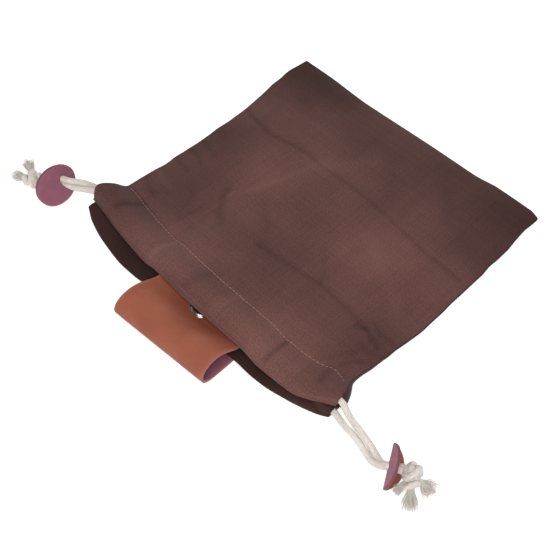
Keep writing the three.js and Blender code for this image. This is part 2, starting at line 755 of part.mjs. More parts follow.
// The bag, built with y = 0 on the line between the mouth's corners and centred afterwards
const bag = new THREE.Group();
bag.position.y = -BAG_LENGTH / 2;

const postHole = snapCylinder( POST_DIAMETER + 2 * POST_CLEARANCE, -LEATHER, SADDLE_TOP + CAP_HEIGHT );
const socketRecess = snapCylinder( SOCKET_DIAMETER + 2 * POST_CLEARANCE, -LEATHER, SOCKET_TOP + SEAM_GAP );

const frontHem = hemRoute( ( mouth ) => mouth.frontCord, frontHemHeight );
const backHem = hemRoute( ( mouth ) => mouth.backCord, backHeight );
const [ cords, cordRooms ] = [ CORD, CORD + 2 * SEAM_GAP ].map( ( diameter ) => [
	cordGeometry( FRONT_CORD_LEFT, frontHem, FRONT_CORD_RIGHT, diameter ),
	cordGeometry( BACK_CORD_LEFT, backHem, BACK_CORD_RIGHT, diameter ),
] );

addMesh( bag, 'front_panel', cut( panelGeometry( frontLine, 8 ), cordRooms[ 0 ] ), canvas );
addMesh( bag, 'back_panel', cut( panelGeometry( backLine, 6 ), cordRooms[ 1 ], postHole ), canvas );
addMesh( bag, 'leather_belt_loop', cut( strapGeometry(), postHole, socketRecess ), leather );
addMesh( bag, 'snap_fastener', snapGeometry(), nickel );
addMesh( bag, 'cord_front', cords[ 0 ], cotton );
addMesh( bag, 'cord_back', cords[ 1 ], cotton );

for ( const place of STOPPERS ) {

	const stopper = addMesh( bag, place.name, stopperGeometry( place ), suede );
	const turns = [ place.tip, place.lean, place.turn ];
	stopper.position.set( place.x, place.y, place.z );
	stopper.rotation.set( ...turns.map( THREE.MathUtils.degToRad ), 'XYZ' );
	stopper.updateMatrix();
	const toStopper = stopper.matrix.clone().invert();
	stopper.geometry = cut( stopper.geometry, ...cordRooms.map( ( room ) => moved( room, toStopper ) ) );

}

for ( const knot of KNOTS ) {

	addMesh( bag, knot.name, knotGeometry( knot, cordRooms ), cotton );

}

export default bag;
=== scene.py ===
"""Blender scene of a drawstring foraging bag of brown canvas that lies flat.

Tables hold shares of named sizes. Named sizes and points are in millimetres, with y = 0 on the line
between the mouth's corners; meshes are in metres in the frame of the CAD model.
"""

import logging
import math
from dataclasses import dataclass, field
from enum import Enum
from typing import Any, Callable, Sequence

import bpy
import numpy as np
from mathutils import Matrix, Vector

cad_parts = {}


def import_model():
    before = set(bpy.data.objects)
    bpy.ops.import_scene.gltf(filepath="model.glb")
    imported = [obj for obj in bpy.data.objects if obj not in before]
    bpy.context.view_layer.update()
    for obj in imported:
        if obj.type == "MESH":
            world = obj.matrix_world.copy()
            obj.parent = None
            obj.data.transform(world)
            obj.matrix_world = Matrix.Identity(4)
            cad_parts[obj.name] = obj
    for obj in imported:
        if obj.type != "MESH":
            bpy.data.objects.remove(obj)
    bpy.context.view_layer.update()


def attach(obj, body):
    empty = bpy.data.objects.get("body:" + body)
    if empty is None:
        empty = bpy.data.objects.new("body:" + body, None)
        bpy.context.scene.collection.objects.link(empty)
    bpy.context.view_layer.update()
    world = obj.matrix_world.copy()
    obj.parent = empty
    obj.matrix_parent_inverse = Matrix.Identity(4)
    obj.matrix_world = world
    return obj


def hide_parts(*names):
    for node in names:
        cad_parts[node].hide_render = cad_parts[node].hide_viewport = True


LOG = logging.getLogger("foraging_bag")
MM = 0.001
BODY = "root"
Points = Sequence[tuple[float, float, float]]


class Slot(str, Enum):
    """Names of the bag's material slots, which nothing in this script uses."""

    CANVAS = "canvas"
    LEATHER = "leather"
    SUEDE = "suede"
    NICKEL = "nickel"
    COTTON = "cotton_cord"


@dataclass(frozen=True)
class Curve:
    """A smooth curve through the rows of a table, which never overshoots them."""

    at: tuple[float, ...]
    value: tuple[float, ...]

    def __call__(self, where: Any) -> np.ndarray:
        """Reads the curve.

        Args:
            where: Places along the table's first column.

        Returns:
            The value at each place.
        """
        x, y = np.asarray(self.at), np.asarray(self.value)
        step = np.diff(x)
        rise = np.diff(y) / step
        slope = np.concatenate(([rise[0]], np.zeros(len(x) - 2), [rise[-1]]))
        product = rise[:-1] * rise[1:]
        total = np.where(product > 0, rise[:-1] + rise[1:], 1.0)
        slope[1:-1] = np.where(product > 0, 2 * product / total, 0.0)
        place = np.clip(np.asarray(where, float), x[0], x[-1])
        i = np.clip(np.searchsorted(x, place, side="right") - 1, 0, len(x) - 2)
        t = (place - x[i]) / step[i]
        low = (1 + 2 * t) * (1 - t) ** 2 * y[i] + t * (1 - t) ** 2 * step[i] * slope[i]
        high = t**2 * (3 - 2 * t) * y[i + 1] - t**2 * (1 - t) * step[i] * slope[i + 1]
        return low + high


def table(*rows: tuple[float, ...]) -> list[Curve]:
    """Makes a curve of each column of a table against its first column.

    Args:
        *rows: The table's rows, in rising order of their first number.

    Returns:
        One curve for each further column.
    """
    columns = list(zip(*rows))
    return [Curve(columns[0], column) for column in columns[1:]]


def smoothstep(x: Any, low: Any, high: Any) -> np.ndarray:
    """Rises smoothly from 0 at low to 1 at high.

    Args:
        x: Where it is read.
        low: Where it starts to rise.
        high: Where it has risen.

    Returns:
        The value at each x.
    """
    t = np.clip((np.asarray(x, float) - low) / (high - low), 0, 1)
    return t * t * (3 - 2 * t)


def lerp(a: Any, b: Any, t: Any) -> Any:
    """Returns the value that lies the share t of the way from a to b."""
    return a + (b - a) * t


def bell(x: Any, middle: float, width: float) -> np.ndarray:
    """A bump that is 1 at its middle and falls off smoothly on both sides.

    Args:
        x: Where it is read.
        middle: Where it is highest.
        width: How far from its middle it has fallen to about a third.

    Returns:
        The value at each x.
    """
    return np.exp(-(((np.asarray(x, float) - middle) / width) ** 2))


def place(points: Any) -> np.ndarray:
    """Moves points of the bag, in millimetres, into the model's frame in metres.

    Args:
        points: An array of x, y and z.

    Returns:
        The same points in metres.
    """
    return (np.asarray(points, float) - (0, Bag.length / 2, 0)) * MM


class Bag:
    """Named sizes of the bag in millimetres, as in its CAD model."""

    width = 250.0
    length = 250.0
    cloth = 1.2
    seam_gap = 0.3
    hem_depth = 30.0
    mouth_bow = 18.0
    side_pull = 9.0
    puff = 6.0
    bottom_dip = 3.5
    cord = 4.5
    tunnel_play = 0.6
    lay_play = 0.6
    leather = 2.0
    strap_width = 81.4
    strap_centre = 6.2
    loop_reach = 43.0
    reach_taper = 0.06
    loop_height = 22.5
    height_taper = 0.05
    upper_tab = 8.0
    lower_flap = 18.0
    saddle_rise = 5.2
    drape = 15.0
    drape_margin = 3.0
    cap_diameter = 15.0
    cap_height = 2.2
    post_diameter = 4.0
    socket_diameter = 11.0
    socket_thickness = 0.9
    post_clearance = 0.4
    snap_x = 4.5
    snap_y = -5.0
    stopper_diameter = 34.0
    stopper_thickness = 2.0
    slot_clearance = 0.6
    bend_reach = 6.0
    strand_gap = 0.3
    nose_power = 0.8
    tent_power = 1.7
    back_swell = hem_depth * 0.17
    swell_flat = cord * 0.3
    body_blend = 0.30
    dome_power = 5
    fold = cloth + seam_gap
    cord_room = cord + 2 * tunnel_play
    hem_height = 2 * cloth + cord_room
    lift = leather + seam_gap
    saddle = lift + 2 * cloth + 2 * seam_gap
    saddle_top = saddle + leather
    cap_under = saddle_top + seam_gap
    under_plain = hem_height + seam_gap + lay_play
    stack_top = max(saddle_top + saddle_rise, lift + hem_height, cap_under + cap_height)
    under_on_strap = stack_top + seam_gap + lay_play
    socket_under = (leather - socket_thickness) / 4
    socket_top = socket_under + socket_thickness


# across, dip of the bottom edge as a share of bottom_dip
(BOTTOM_DIP,) = table(
    (-1.00, 0.10), (-0.78, 0.20), (-0.55, 0.75), (-0.42, 1.00), (0.20, 0.70),
    (0.50, 0.75), (0.70, 0.00), (0.95, 0.15), (1.00, 0.90),
)
# across, front edge and back edge as shares of mouth_bow, front cord and back cord of hem_depth
FRONT_EDGE, BACK_EDGE, FRONT_CORD, BACK_CORD = table(
    (-1.00, 0.28, 0.00, 0.17, 0.58),
    (-0.90, 0.16, -0.38, 0.28, 0.72),
    (-0.72, -0.12, -0.76, 0.36, 0.78),
    (-0.50, -0.36, -0.98, 0.40, 0.82),
    (-0.25, -0.52, -0.95, 0.40, 0.82),
    (0.05, -0.61, -0.90, 0.40, 0.82),
    (0.40, -0.63, -0.90, 0.40, 0.82),
    (0.60, -0.61, -0.85, 0.40, 0.75),
    (0.77, -0.52, -0.64, 0.38, 0.60),
    (0.87, -0.25, -0.45, 0.32, 0.42),
    (0.94, 0.02, -0.28, 0.26, 0.26),
    (1.00, 0.22, -0.08, 0.155, 0.16),
)
# across, how the front hem hangs: droop and swell as shares of hem_height, settle of its height
DROOP, SETTLE, SWELL = table(
    (-1.00, 0.50, 0.62, 0.36),
    (-0.90, 0.35, 0.42, 0.18),
    (-0.72, 0.15, 0.15, 0.05),
    (-0.50, 0.05, 0.00, 0.00),
    (-0.25, 0.00, 0.00, 0.00),
    (0.60, 0.00, 0.00, 0.00),
    (0.77, 0.08, 0.05, 0.00),
    (0.87, 0.12, 0.15, 0.00),
    (0.94, 0.06, 0.32, 0.00),
    (1.00, 0.00, 0.55, 0.00),
)
# share of the length, pull of the left and the right side as shares of side_pull
PULL_LEFT, PULL_RIGHT = table(
    (-0.10, 0.00, 0.45), (0.04, 0.05, 0.40), (0.12, 0.75, 1.00), (0.20, 0.88, 0.85),
    (0.30, 0.92, 0.45), (0.42, 0.84, 0.20), (0.62, 0.80, 0.06), (0.74, 0.48, 0.00),
    (0.92, -0.10, 0.08), (0.98, 0.00, 0.04), (1.00, 0.05, 0.30),
)
# distance from the mouth's line, how far the turned cloth at the right end of the hem stands out
(FLAP,) = table((8.0, 2.0), (12.0, 2.8), (18.0, 2.8), (23.0, 2.2), (29.0, 0.5), (34.0, 0.0), (250.0, 0.0))
# share of the way from the stitch line to the bottom, rise of the front as a share of puff
(RISE,) = table(
    (0.00, 1.34), (0.12, 1.30), (0.26, 1.18), (0.42, 1.06), (0.59, 1.04), (0.645, 0.86),
    (0.70, 1.00), (0.84, 0.92), (0.93, 0.66), (0.975, 0.30), (1.00, 0.00),
)
# the strap's loop: out as a share of loop_reach, up of loop_height less the strap's thickness, and
# how much higher it is at the strap's sides, as a share of saddle_rise
LOOP = (
    (0.22, 0.36, 1.10), (0.34, 0.58, 0.88), (0.46, 0.80, 0.58), (0.60, 0.96, 0.40), (0.77, 0.98, 0.21),
    (0.92, 0.77, 0.29), (0.975, 0.46, 0.25), (0.93, 0.17, 0.00), (0.80, 0.02, 0.00), (0.62, 0.00, 0.00),
)
LOOP_BACK = 0.30

# the cords outside the hems, in millimetres, as the CAD model has them
FRONT_CORD_LEFT: Points = (
    (-160.2, -11.6, 11.4), (-154.0, -6.8, 13.4), (-148.9, -3.9, 14.8), (-144.8, -3.6, 15.8),
    (-140.6, -3.0, 16.0), (-136.5, -0.7, 15.0), (-130.4, 5.2, 13.2),
)
FRONT_CORD_RIGHT: Points = (
    (130.6, 6.6, 8.6), (143.7, 3.7, 7.0), (153.5, 1.4, 6.8), (161.5, -1.4, 6.1),
    (167.0, -2.8, 6.2), (171.6, -1.2, 7.7), (176.0, 0.9, 9.3), (179.5, 3.2, 11.3),
)
BACK_CORD_LEFT: Points = (
    (-160.8, -11.2, 16.4), (-155.0, -6.8, 18.2), (-150.2, -4.3, 19.5), (-146.0, -4.2, 20.5),
    (-142.0, -3.0, 20.9), (-138.4, 0.4, 19.9), (-134.2, 6.6, 16.4), (-129.4, 13.9, 9.4),
)
BACK_CORD_RIGHT: Points = (
    (130.0, 1.2, 4.4), (144.1, -0.8, 4.3), (153.9, -3.4, 4.3), (161.0, -6.4, 6.3),
    (167.0, -6.7, 9.4), (171.6, -4.4, 11.3), (176.0, -2.6, 12.9), (180.5, -1.0, 13.7),
)


@dataclass(frozen=True)
class Mouth:
    """The two mouth edges and their cords at one place across the bag, in millimetres."""

    across: float

    @property
    def front_edge(self) -> float:
        """The front hem's folded edge."""
        return Bag.mouth_bow * float(FRONT_EDGE(self.across))

    @property
    def back_edge(self) -> float:
        """The back hem's folded edge."""
        return Bag.mouth_bow * float(BACK_EDGE(self.across))

    @property
    def front_cord(self) -> float:
        """The cord in the front hem."""
        return self.front_edge + Bag.hem_depth * float(FRONT_CORD(self.across))

    @property
    def back_cord(self) -> float:
        """The cord in the back hem."""
        return self.back_edge + Bag.hem_depth * float(BACK_CORD(self.across))

    @property
    def front_stitch(self) -> float:
        """The front hem's stitch line."""
        return self.front_edge + Bag.hem_depth

    @property
    def back_stitch(self) -> float:
        """The back hem's stitch line."""
        return self.back_edge + Bag.hem_depth

    @property
    def bottom(self) -> float:
        """The bottom seam."""
        return Bag.length - Bag.bottom_dip * float(BOTTOM_DIP(self.across))


def side_x(y: Any, across: float) -> np.ndarray:
    """Finds x at a share of the bag's half width.

    Args:
        y: Distances from the mouth's line.
        across: Share of the half width, from -1 to 1.

    Returns:
        x at each y.
    """
    pull = (PULL_LEFT if across < 0 else PULL_RIGHT)(np.asarray(y, float) / Bag.length)
    return across * (Bag.width / 2 - Bag.side_pull * pull)


def drape_over(x: Any) -> np.ndarray:
    """Returns 1 over the strap, falling to 0 past its sides where the cloth comes down."""
    past = np.abs(np.asarray(x, float) - Bag.strap_centre) - Bag.strap_width / 2 - Bag.drape_margin
    return 1 - smoothstep(past, 0, Bag.drape)


def swell_over(distance: Any, half_width: Any) -> np.ndarray:
    """Gives the swell of the cloth over a cord.

    Args:
        distance: Distances from the cord's middle.
        half_width: Where the swell has come down.

    Returns:
        A share from 0 to 1 at each distance.
    """
    past = (np.abs(distance) - Bag.swell_flat) / (half_width - Bag.swell_flat)
    return np.cos(np.clip(past, 0, 1) * np.pi / 2) ** 2


def back_height(x: Any, y: Any) -> np.ndarray:
    """Height of the back panel's middle plane.

    Args:
        x: Places along the mouth.
        y: Distances from the mouth's line.

    Returns:
        The height at each place.
    """
    past = np.asarray(y, float) - (Bag.snap_y + Bag.lower_flap) - Bag.drape_margin
    return Bag.cloth / 2 + Bag.lift * drape_over(x) * (1 - smoothstep(past, 0, Bag.drape))


def front_hem_height(x: Any, y: Any, mouth: Mouth) -> np.ndarray:
    """Height of the middle plane of the front hem's inner layer.

    Args:
        x: Places along the mouth.
        y: Distances from the mouth's line.
        mouth: The mouth at this place across.

    Returns:
        The height at each place.
    """
    clear = max(mouth.back_cord, mouth.front_cord) + Bag.cord
    settled = float(SETTLE(mouth.across)) * smoothstep(y, clear, mouth.front_stitch)
    under = lerp(Bag.under_plain * (1 - settled), Bag.under_on_strap, drape_over(x))
    away = (np.asarray(y, float) - mouth.front_edge) / (Bag.hem_depth / 4)
    droop = Bag.hem_height * float(DROOP(mouth.across))
    return Bag.cloth / 2 + under - droop * (1 - smoothstep(away, 0, 1))


def fold_round(edge: float, outer: float, inner: float, steps: int) -> np.ndarray:
    """Rounds the fold at a mouth edge, between the two layers.

    Args:
        edge: The folded edge's y.
        outer: Height of the outer layer.
        inner: Height of the inner layer.
        steps: How many points lie between the layers.

    Returns:
        Points of y and z from the outer layer to the inner one.
    """
    angle = np.pi * np.arange(1, steps) / steps
    y = edge + Bag.fold - (Bag.fold - Bag.cloth / 2) * np.sin(angle)
    z = (outer + inner) / 2 + (outer - inner) / 2 * np.cos(angle)
    return np.stack([y, z], 1)


@dataclass(frozen=True)
class Steps:
    """How many points each stretch of a panel's middle line has."""

    body: int = 96
    hem: int = 34
    fold: int = 8
    turned: int = 14


def front_line(across: float, steps: Steps) -> np.ndarray:
    """The front panel's middle line: bottom seam, body, outer hem, fold, inner hem.

    Args:
        across: Share of the half width.
        steps: How fine each stretch is.

    Returns:
        Points of y and z.
    """
    mouth = Mouth(across)
    seam = 1.5 * Bag.cloth + Bag.seam_gap
    dome = 1 - abs(across) ** Bag.dome_power
    lifted = Bag.cord_room - Bag.seam_gap + Bag.hem_height * float(SWELL(across))
    half_fold = mouth.front_cord - mouth.front_edge - Bag.fold

    def inner_height(y: np.ndarray) -> np.ndarray:
        """Height of the inner layer."""
        return front_hem_height(side_x(y, across), y, mouth)

    stitch_height = float(inner_height(np.array(mouth.front_stitch))) + Bag.fold
    along = 1 - np.linspace(0, 1, steps.body, endpoint=False)
    flat = seam + Bag.puff * RISE(along) * dome
    body_y = lerp(mouth.front_stitch, mouth.bottom, along)
    body_z = lerp(stitch_height, flat, smoothstep(along, 0, Bag.body_blend))
    hem_y = np.linspace(mouth.front_stitch, mouth.front_edge + Bag.fold, steps.hem)
    past = hem_y - mouth.front_cord
    towards_fold = np.cos(np.clip(-past / half_fold, 0, 1) * np.pi / 2) ** Bag.nose_power
    towards_stitch = np.cos(np.clip(past / (mouth.front_stitch - mouth.front_cord), 0, 1) * np.pi / 2)
    gap = Bag.fold + lifted * np.where(past < 0, towards_fold, towards_stitch**Bag.tent_power)
    outer = np.stack([hem_y, inner_height(hem_y) + gap], 1)
    turned_y = np.linspace(mouth.front_edge + Bag.fold, mouth.front_stitch, steps.turned)
    turned = np.stack([turned_y, inner_height(turned_y)], 1)
    fold = fold_round(mouth.front_edge, outer[-1, 1], turned[0, 1], steps.fold)
    return np.concatenate([np.stack([body_y, body_z], 1), outer, fold, turned])


def back_line(across: float, steps: Steps) -> np.ndarray:
    """The back panel's middle line: bottom seam, body, outer hem, fold, inner hem.

    Args:
        across: Share of the half width.
        steps: How fine each stretch is.

    Returns:
        Points of y and z.
    """
    mouth = Mouth(across)
    along = 1 - np.linspace(0, 1, steps.body, endpoint=False)
    outer_y = np.linspace(mouth.back_stitch, mouth.back_edge + Bag.fold, steps.turned)
    lower_y = np.concatenate([lerp(mouth.back_stitch, mouth.bottom, along), outer_y])
    lower = np.stack([lower_y, back_height(side_x(lower_y, across), lower_y)], 1)
    hem_y = np.linspace(mouth.back_edge + Bag.fold, mouth.back_stitch, steps.hem)
    lifted = Bag.cord_room - Bag.seam_gap
    gap = Bag.fold + lifted * swell_over(hem_y - mouth.back_cord, Bag.back_swell)
    upper = np.stack([hem_y, back_height(side_x(hem_y, across), hem_y) + gap], 1)
    fold = fold_round(mouth.back_edge, lower[-1, 1], upper[0, 1], steps.fold)
    return np.concatenate([lower, fold, upper])


@dataclass(frozen=True)
class Crease:
    """A crease folded or pushed into the cloth along a few chosen points.

    depth raises the line itself, below 0 for a valley. step raises the left side of the line, seen
    along it, and lowers the right, out to reach.
    """

    line: tuple[tuple[float, float], ...]
    depth: float = 0.0
    width: float = 2.5
    step: float = 0.0
    reach: float = 22.0

    def height(self, x: np.ndarray, y: np.ndarray) -> tuple[np.ndarray, np.ndarray]:
        """Measures the crease.

        Args:
            x: Places along the mouth.
            y: Distances from the mouth's line.

        Returns:
            The height that it adds, and how near each place is to it, from 0 to 1.
        """
        best = np.full(x.shape, np.inf)
        signed = np.zeros(x.shape)
        for (ax, ay), (bx, by) in zip(self.line, self.line[1:]):
            ex, ey = bx - ax, by - ay
            t = np.clip(((x - ax) * ex + (y - ay) * ey) / (ex * ex + ey * ey), 0, 1)
            dx, dy = x - ax - t * ex, y - ay - t * ey
            distance = np.hypot(dx, dy)
            nearer = distance < best
            best = np.where(nearer, distance, best)
            side = (ex * dy - ey * dx) / math.hypot(ex, ey)
            signed = np.where(nearer, side, signed)
        near = bell(best, 0, self.width)
        slope = np.tanh(signed / self.width) * bell(best, 0, self.reach)
        return self.depth * near + self.step / 2 * slope, near


# creases of the front panel, points in millimetres across and from the mouth's line
FRONT_CREASES = (
    Crease(((-118, 166), (-108, 161), (-82, 155), (-60, 159), (-42, 161), (-28, 157)), -1.0, 2.2, 0.5),
    Crease(((-28, 157), (0, 159), (25, 158), (42, 156), (64, 153), (88, 149), (116, 151)), -0.8, 2.0, 0.35),
    Crease(((-54, 84), (-49, 94), (-40, 120), (-35, 138), (-29, 158)), 0.9, 3.2, -1.6, 20),
    Crease(((-29, 158), (-14, 172), (2, 192)), 0.7, 9.0, -0.4),
    Crease(((-60, 86), (-57, 76), (-46, 63), (-38, 56)), -0.7, 3.0),
    Crease(((-4, 62), (20, 65), (38, 68), (50, 70), (66, 69), (82, 68), (96, 66)), -0.8, 2.4, 0.2),
    Crease(((30, 96), (38, 88), (46, 78), (50, 70)), -0.45, 2.6),
    Crease(((46, 132), (62, 120), (80, 110), (95, 102), (108, 86)), 0.4, 5.0, 1.1, 20),
    Crease(((90, 62), (97, 66), (104, 62), (112, 60)), -0.8, 2.2),
    Crease(((98, 74), (106, 70), (117, 72)), -0.6, 2.0),
    Crease(((101, 54), (108, 52), (118, 57)), -0.6, 2.2),
    Crease(((-60, 58), (-62, 44), (-66, 30)), -0.45, 2.4),
    Crease(((-76, 64), (-70, 52), (-68, 40)), -0.35, 2.6),
    Crease(((-116, 112), (-104, 108), (-94, 104)), -0.5, 2.2),
    Crease(((-115, 98), (-103, 95), (-95, 90)), -0.5, 2.0),
    Crease(((-116, 84), (-106, 78), (-96, 76)), -0.45, 2.2),
    Crease(((-113, 62), (-103, 56), (-92, 54)), 0.5, 2.2),
    Crease(((-117, 52), (-105, 44), (-94, 40)), -0.6, 2.2),
    Crease(((-108, 36), (-99, 42), (-88, 50)), -0.4, 2.0),
    Crease(((104, 30), (108, 40), (116, 48)), -0.6, 2.2),
    Crease(((92, 24), (98, 36), (104, 48)), -0.35, 2.2),
    Crease(((-20, 30), (-10, 40), (4, 48)), 0.3, 5.0),
    Crease(((-90, 205), (-70, 196), (-56, 200)), -0.3, 6.0),
    Crease(((58, 212), (70, 200), (78, 186)), -0.35, 6.0),
    Crease(((-32, 95), (-14, 82), (-4, 62)), -0.3, 4.0),
)
# creases that run across the front hem
HEM_CREASES = (
    Crease(((-46, 17), (-49, 4), (-48, -7)), 0.9, 2.0, -0.5, 12),
    Crease(((66, 17), (67, 6), (67, -6)), -0.9, 1.5, 0.4, 10),
    Crease(((-92, 30), (-95, 20), (-100, 10)), -0.5, 2.6),
    Crease(((20, 16), (17, 2), (16, -9)), 0.3, 4.0),
    Crease(((-8, 17), (-10, 4), (-12, -8)), -0.3, 3.4),
    Crease(((98, 30), (101, 18), (103, 8)), -0.5, 2.6),
    Crease(((84, 26), (86, 14), (86, 4)), 0.35, 3.0),
)


# soft waves of the front panel: distance between two hills and height in millimetres, seed
WAVES = ((46, 0.75, 3), (19, 0.34, 5), (7, 0.12, 8))


def cloth_noise(x: np.ndarray, y: np.ndarray, size: float, seed: int) -> np.ndarray:
    """Smooth noise over the cloth.

    Args:
        x: Places along the mouth.
        y: Distances from the mouth's line.
        size: Distance between its hills in millimetres.
        seed: Which noise.

    Returns:
        Values from about -1 to 1.
    """
    lattice = np.random.default_rng(seed).uniform(-1, 1, (96, 96))
    u, v = np.asarray(x) / size + 40, np.asarray(y) / size + 40
    i, j = np.floor(u).astype(int), np.floor(v).astype(int)
    s, t = smoothstep(u - i, 0, 1), smoothstep(v - j, 0, 1)
    i, j = i % 95, j % 95
    low = lerp(lattice[i, j], lattice[i + 1, j], s)
    high = lerp(lattice[i, j + 1], lattice[i + 1, j + 1], s)
    return lerp(low, high, t)


def deselect() -> None:
    """Leaves object mode with nothing selected."""
    if bpy.context.object and bpy.context.object.mode != "OBJECT":
        bpy.ops.object.mode_set(mode="OBJECT")
    bpy.ops.object.select_all(action="DESELECT")


def choose(obj: bpy.types.Object) -> bpy.types.Object:
    """Selects one object alone and makes it active.

    Args:
        obj: The object.

    Returns:
        The same object.
    """
    deselect()
    obj.select_set(True)
    bpy.context.view_layer.objects.active = obj
    return obj


def apply_modifier(obj: bpy.types.Object, kind: str, **settings: Any) -> None:
    """Adds a modifier to an object and applies it.

    Args:
        obj: The object.
        kind: The modifier's type.
        **settings: Its settings.
    """
    choose(obj)
    modifier = obj.modifiers.new(kind.title(), kind)
    for name, value in settings.items():
        setattr(modifier, name, value)
    bpy.ops.object.modifier_apply(modifier=modifier.name)


def thicken(obj: bpy.types.Object, thickness: float, **settings: Any) -> None:
    """Gives a sheet its thickness on both sides of its middle surface.

    Args:
        obj: The middle surface.
        thickness: Its thickness in millimetres.
        **settings: Further settings of the modifier.
    """
    apply_modifier(
        obj, "SOLIDIFY", thickness=thickness * MM, offset=0.0, use_rim=True, use_even_offset=True, **settings
    )


def round_edges(
    obj: bpy.types.Object, width: float, degrees: float, segments: int = 2, **settings: Any
) -> None:
    """Rounds the cut edges of a thick sheet.

    Args:
        obj: The sheet.
        width: Width of the rounding in millimetres.
        degrees: The least angle of an edge that is rounded.
        segments: Faces across the rounding.
        **settings: Further settings of the modifier.
    """
    apply_modifier(
        obj, "BEVEL", width=width * MM, segments=segments, limit_method="ANGLE",
        angle_limit=math.radians(degrees), **settings,
    )


def smooth(obj: bpy.types.Object, degrees: float) -> None:
    """Shades an object smooth, with edges sharper than an angle kept.

    Args:
        obj: The object.
        degrees: The angle.
    """
    choose(obj)
    bpy.ops.object.shade_smooth_by_angle(angle=math.radians(degrees))


def mesh_piece(
    name: str,
    points: np.ndarray,
    faces: Sequence[Sequence[int]],
    uv: np.ndarray | None = None,
    shade: np.ndarray | None = None,
) -> bpy.types.Object:
    """Makes an object of points and faces.

    Args:
        name: The piece's name.
        points: Its points in metres.
        faces: Its faces.
        uv: A place on the cloth or leather for each point, in metres.
        shade: A value for each point that pales worn places and darkens painted shade, kept as the point
            attribute "wear".

    Returns:
        The object, at the origin.
    """
    mesh = bpy.data.meshes.new(name)
    mesh.from_pydata([tuple(p) for p in points], [], [tuple(int(i) for i in f) for f in faces])
    if uv is not None:
        layer = mesh.uv_layers.new(name="surface")
        index = np.zeros(len(mesh.loops), int)
        mesh.loops.foreach_get("vertex_index", index)
        layer.data.foreach_set("uv", np.asarray(uv, np.float32)[index].ravel())
    if shade is not None:
        attribute = mesh.attributes.new("wear_and_painted_shade", "FLOAT", "POINT")
        attribute.data.foreach_set("value", np.asarray(shade, np.float32).ravel())
    mesh.validate()
    mesh.update()
    obj = bpy.data.objects.new(name, mesh)
    bpy.context.scene.collection.objects.link(obj)
    return obj


def grid_faces(rows: int, columns: int, round_columns: bool = False) -> np.ndarray:
    """Faces of a grid of points.

    Args:
        rows: Points the slow way.
        columns: Points the fast way.
        round_columns: Whether the fast way closes on itself.

    Returns:
        Four point numbers for each face.
    """
    ends = columns if round_columns else columns - 1
    r, c = np.meshgrid(np.arange(rows - 1), np.arange(ends), indexing="ij")
    n = (c + 1) % columns
    faces = np.stack([r * columns + c, r * columns + n, (r + 1) * columns + n, (r + 1) * columns + c], -1)
    return faces.reshape(-1, 4)


def grid_piece(name: str, grid: np.ndarray, wear_and_painted_shade: np.ndarray | None = None) -> bpy.types.Object:
    """Makes a sheet's middle surface of a grid of points, with its own lengths as its UV map.

    Args:
        name: The piece's name.
        grid: Points in millimetres, rows by columns by 3.
        wear_and_painted_shade: A value for each point that pales worn places and darkens painted shade.

    Returns:
        The object.
    """
    rows, columns = grid.shape[:2]
    along = np.cumsum(np.linalg.norm(np.diff(grid, axis=1, prepend=grid[:, :1]), axis=2), axis=1)
    across = np.cumsum(np.linalg.norm(np.diff(grid, axis=0, prepend=grid[:1]), axis=2), axis=0)
    lengths = np.stack([across.mean(1)[:, None] + 0 * along, along], -1) * MM
    faces = grid_faces(rows, columns)
    shade = None if wear_and_painted_shade is None else wear_and_painted_shade.ravel()
    return mesh_piece(name, place(grid.reshape(-1, 3)), faces, lengths.reshape(-1, 2), shade)


def centripetal(points: Any, per_span: int) -> np.ndarray:
    """Samples a centripetal Catmull-Rom spline.

    Args:
        points: Its control points.
        per_span: Samples between two of them.

    Returns:
        The samples, from the first point to the last.
    """
    p = np.asarray(points, float)
    p = np.concatenate([[2 * p[0] - p[1]], p, [2 * p[-1] - p[-2]]])
    t = np.linspace(0, 1, per_span, endpoint=False)[:, None]
    spans = []
    for a, b, c, d in zip(p, p[1:], p[2:], p[3:]):
        d0, d1, d2 = (math.sqrt(max(np.linalg.norm(v), 1e-6)) for v in (b - a, c - b, d - c))
        m1 = ((b - a) / d0 - (c - a) / (d0 + d1) + (c - b) / d1) * d1
        m2 = ((c - b) / d1 - (d - b) / (d1 + d2) + (d - c) / d2) * d1
        spans.append(
            (2 * t**3 - 3 * t**2 + 1) * b + (t**3 - 2 * t**2 + t) * m1
            + (3 * t**2 - 2 * t**3) * c + (t**3 - t**2) * m2
        )
    return np.concatenate([*spans, p[-2:-1]])


def spaced(line: np.ndarray, step: float) -> np.ndarray:
    """Spaces a line's points evenly.

    Args:
        line: Its points.
        step: The distance between two points of the result, about.

    Returns:
        Evenly spaced points, both ends kept.
    """
    run = np.concatenate([[0], np.cumsum(np.linalg.norm(np.diff(line, axis=0), axis=1))])
    at = np.linspace(0, run[-1], max(int(run[-1] / step), 2) + 1)
    return np.stack([np.interp(at, run, line[:, k]) for k in range(3)], 1)


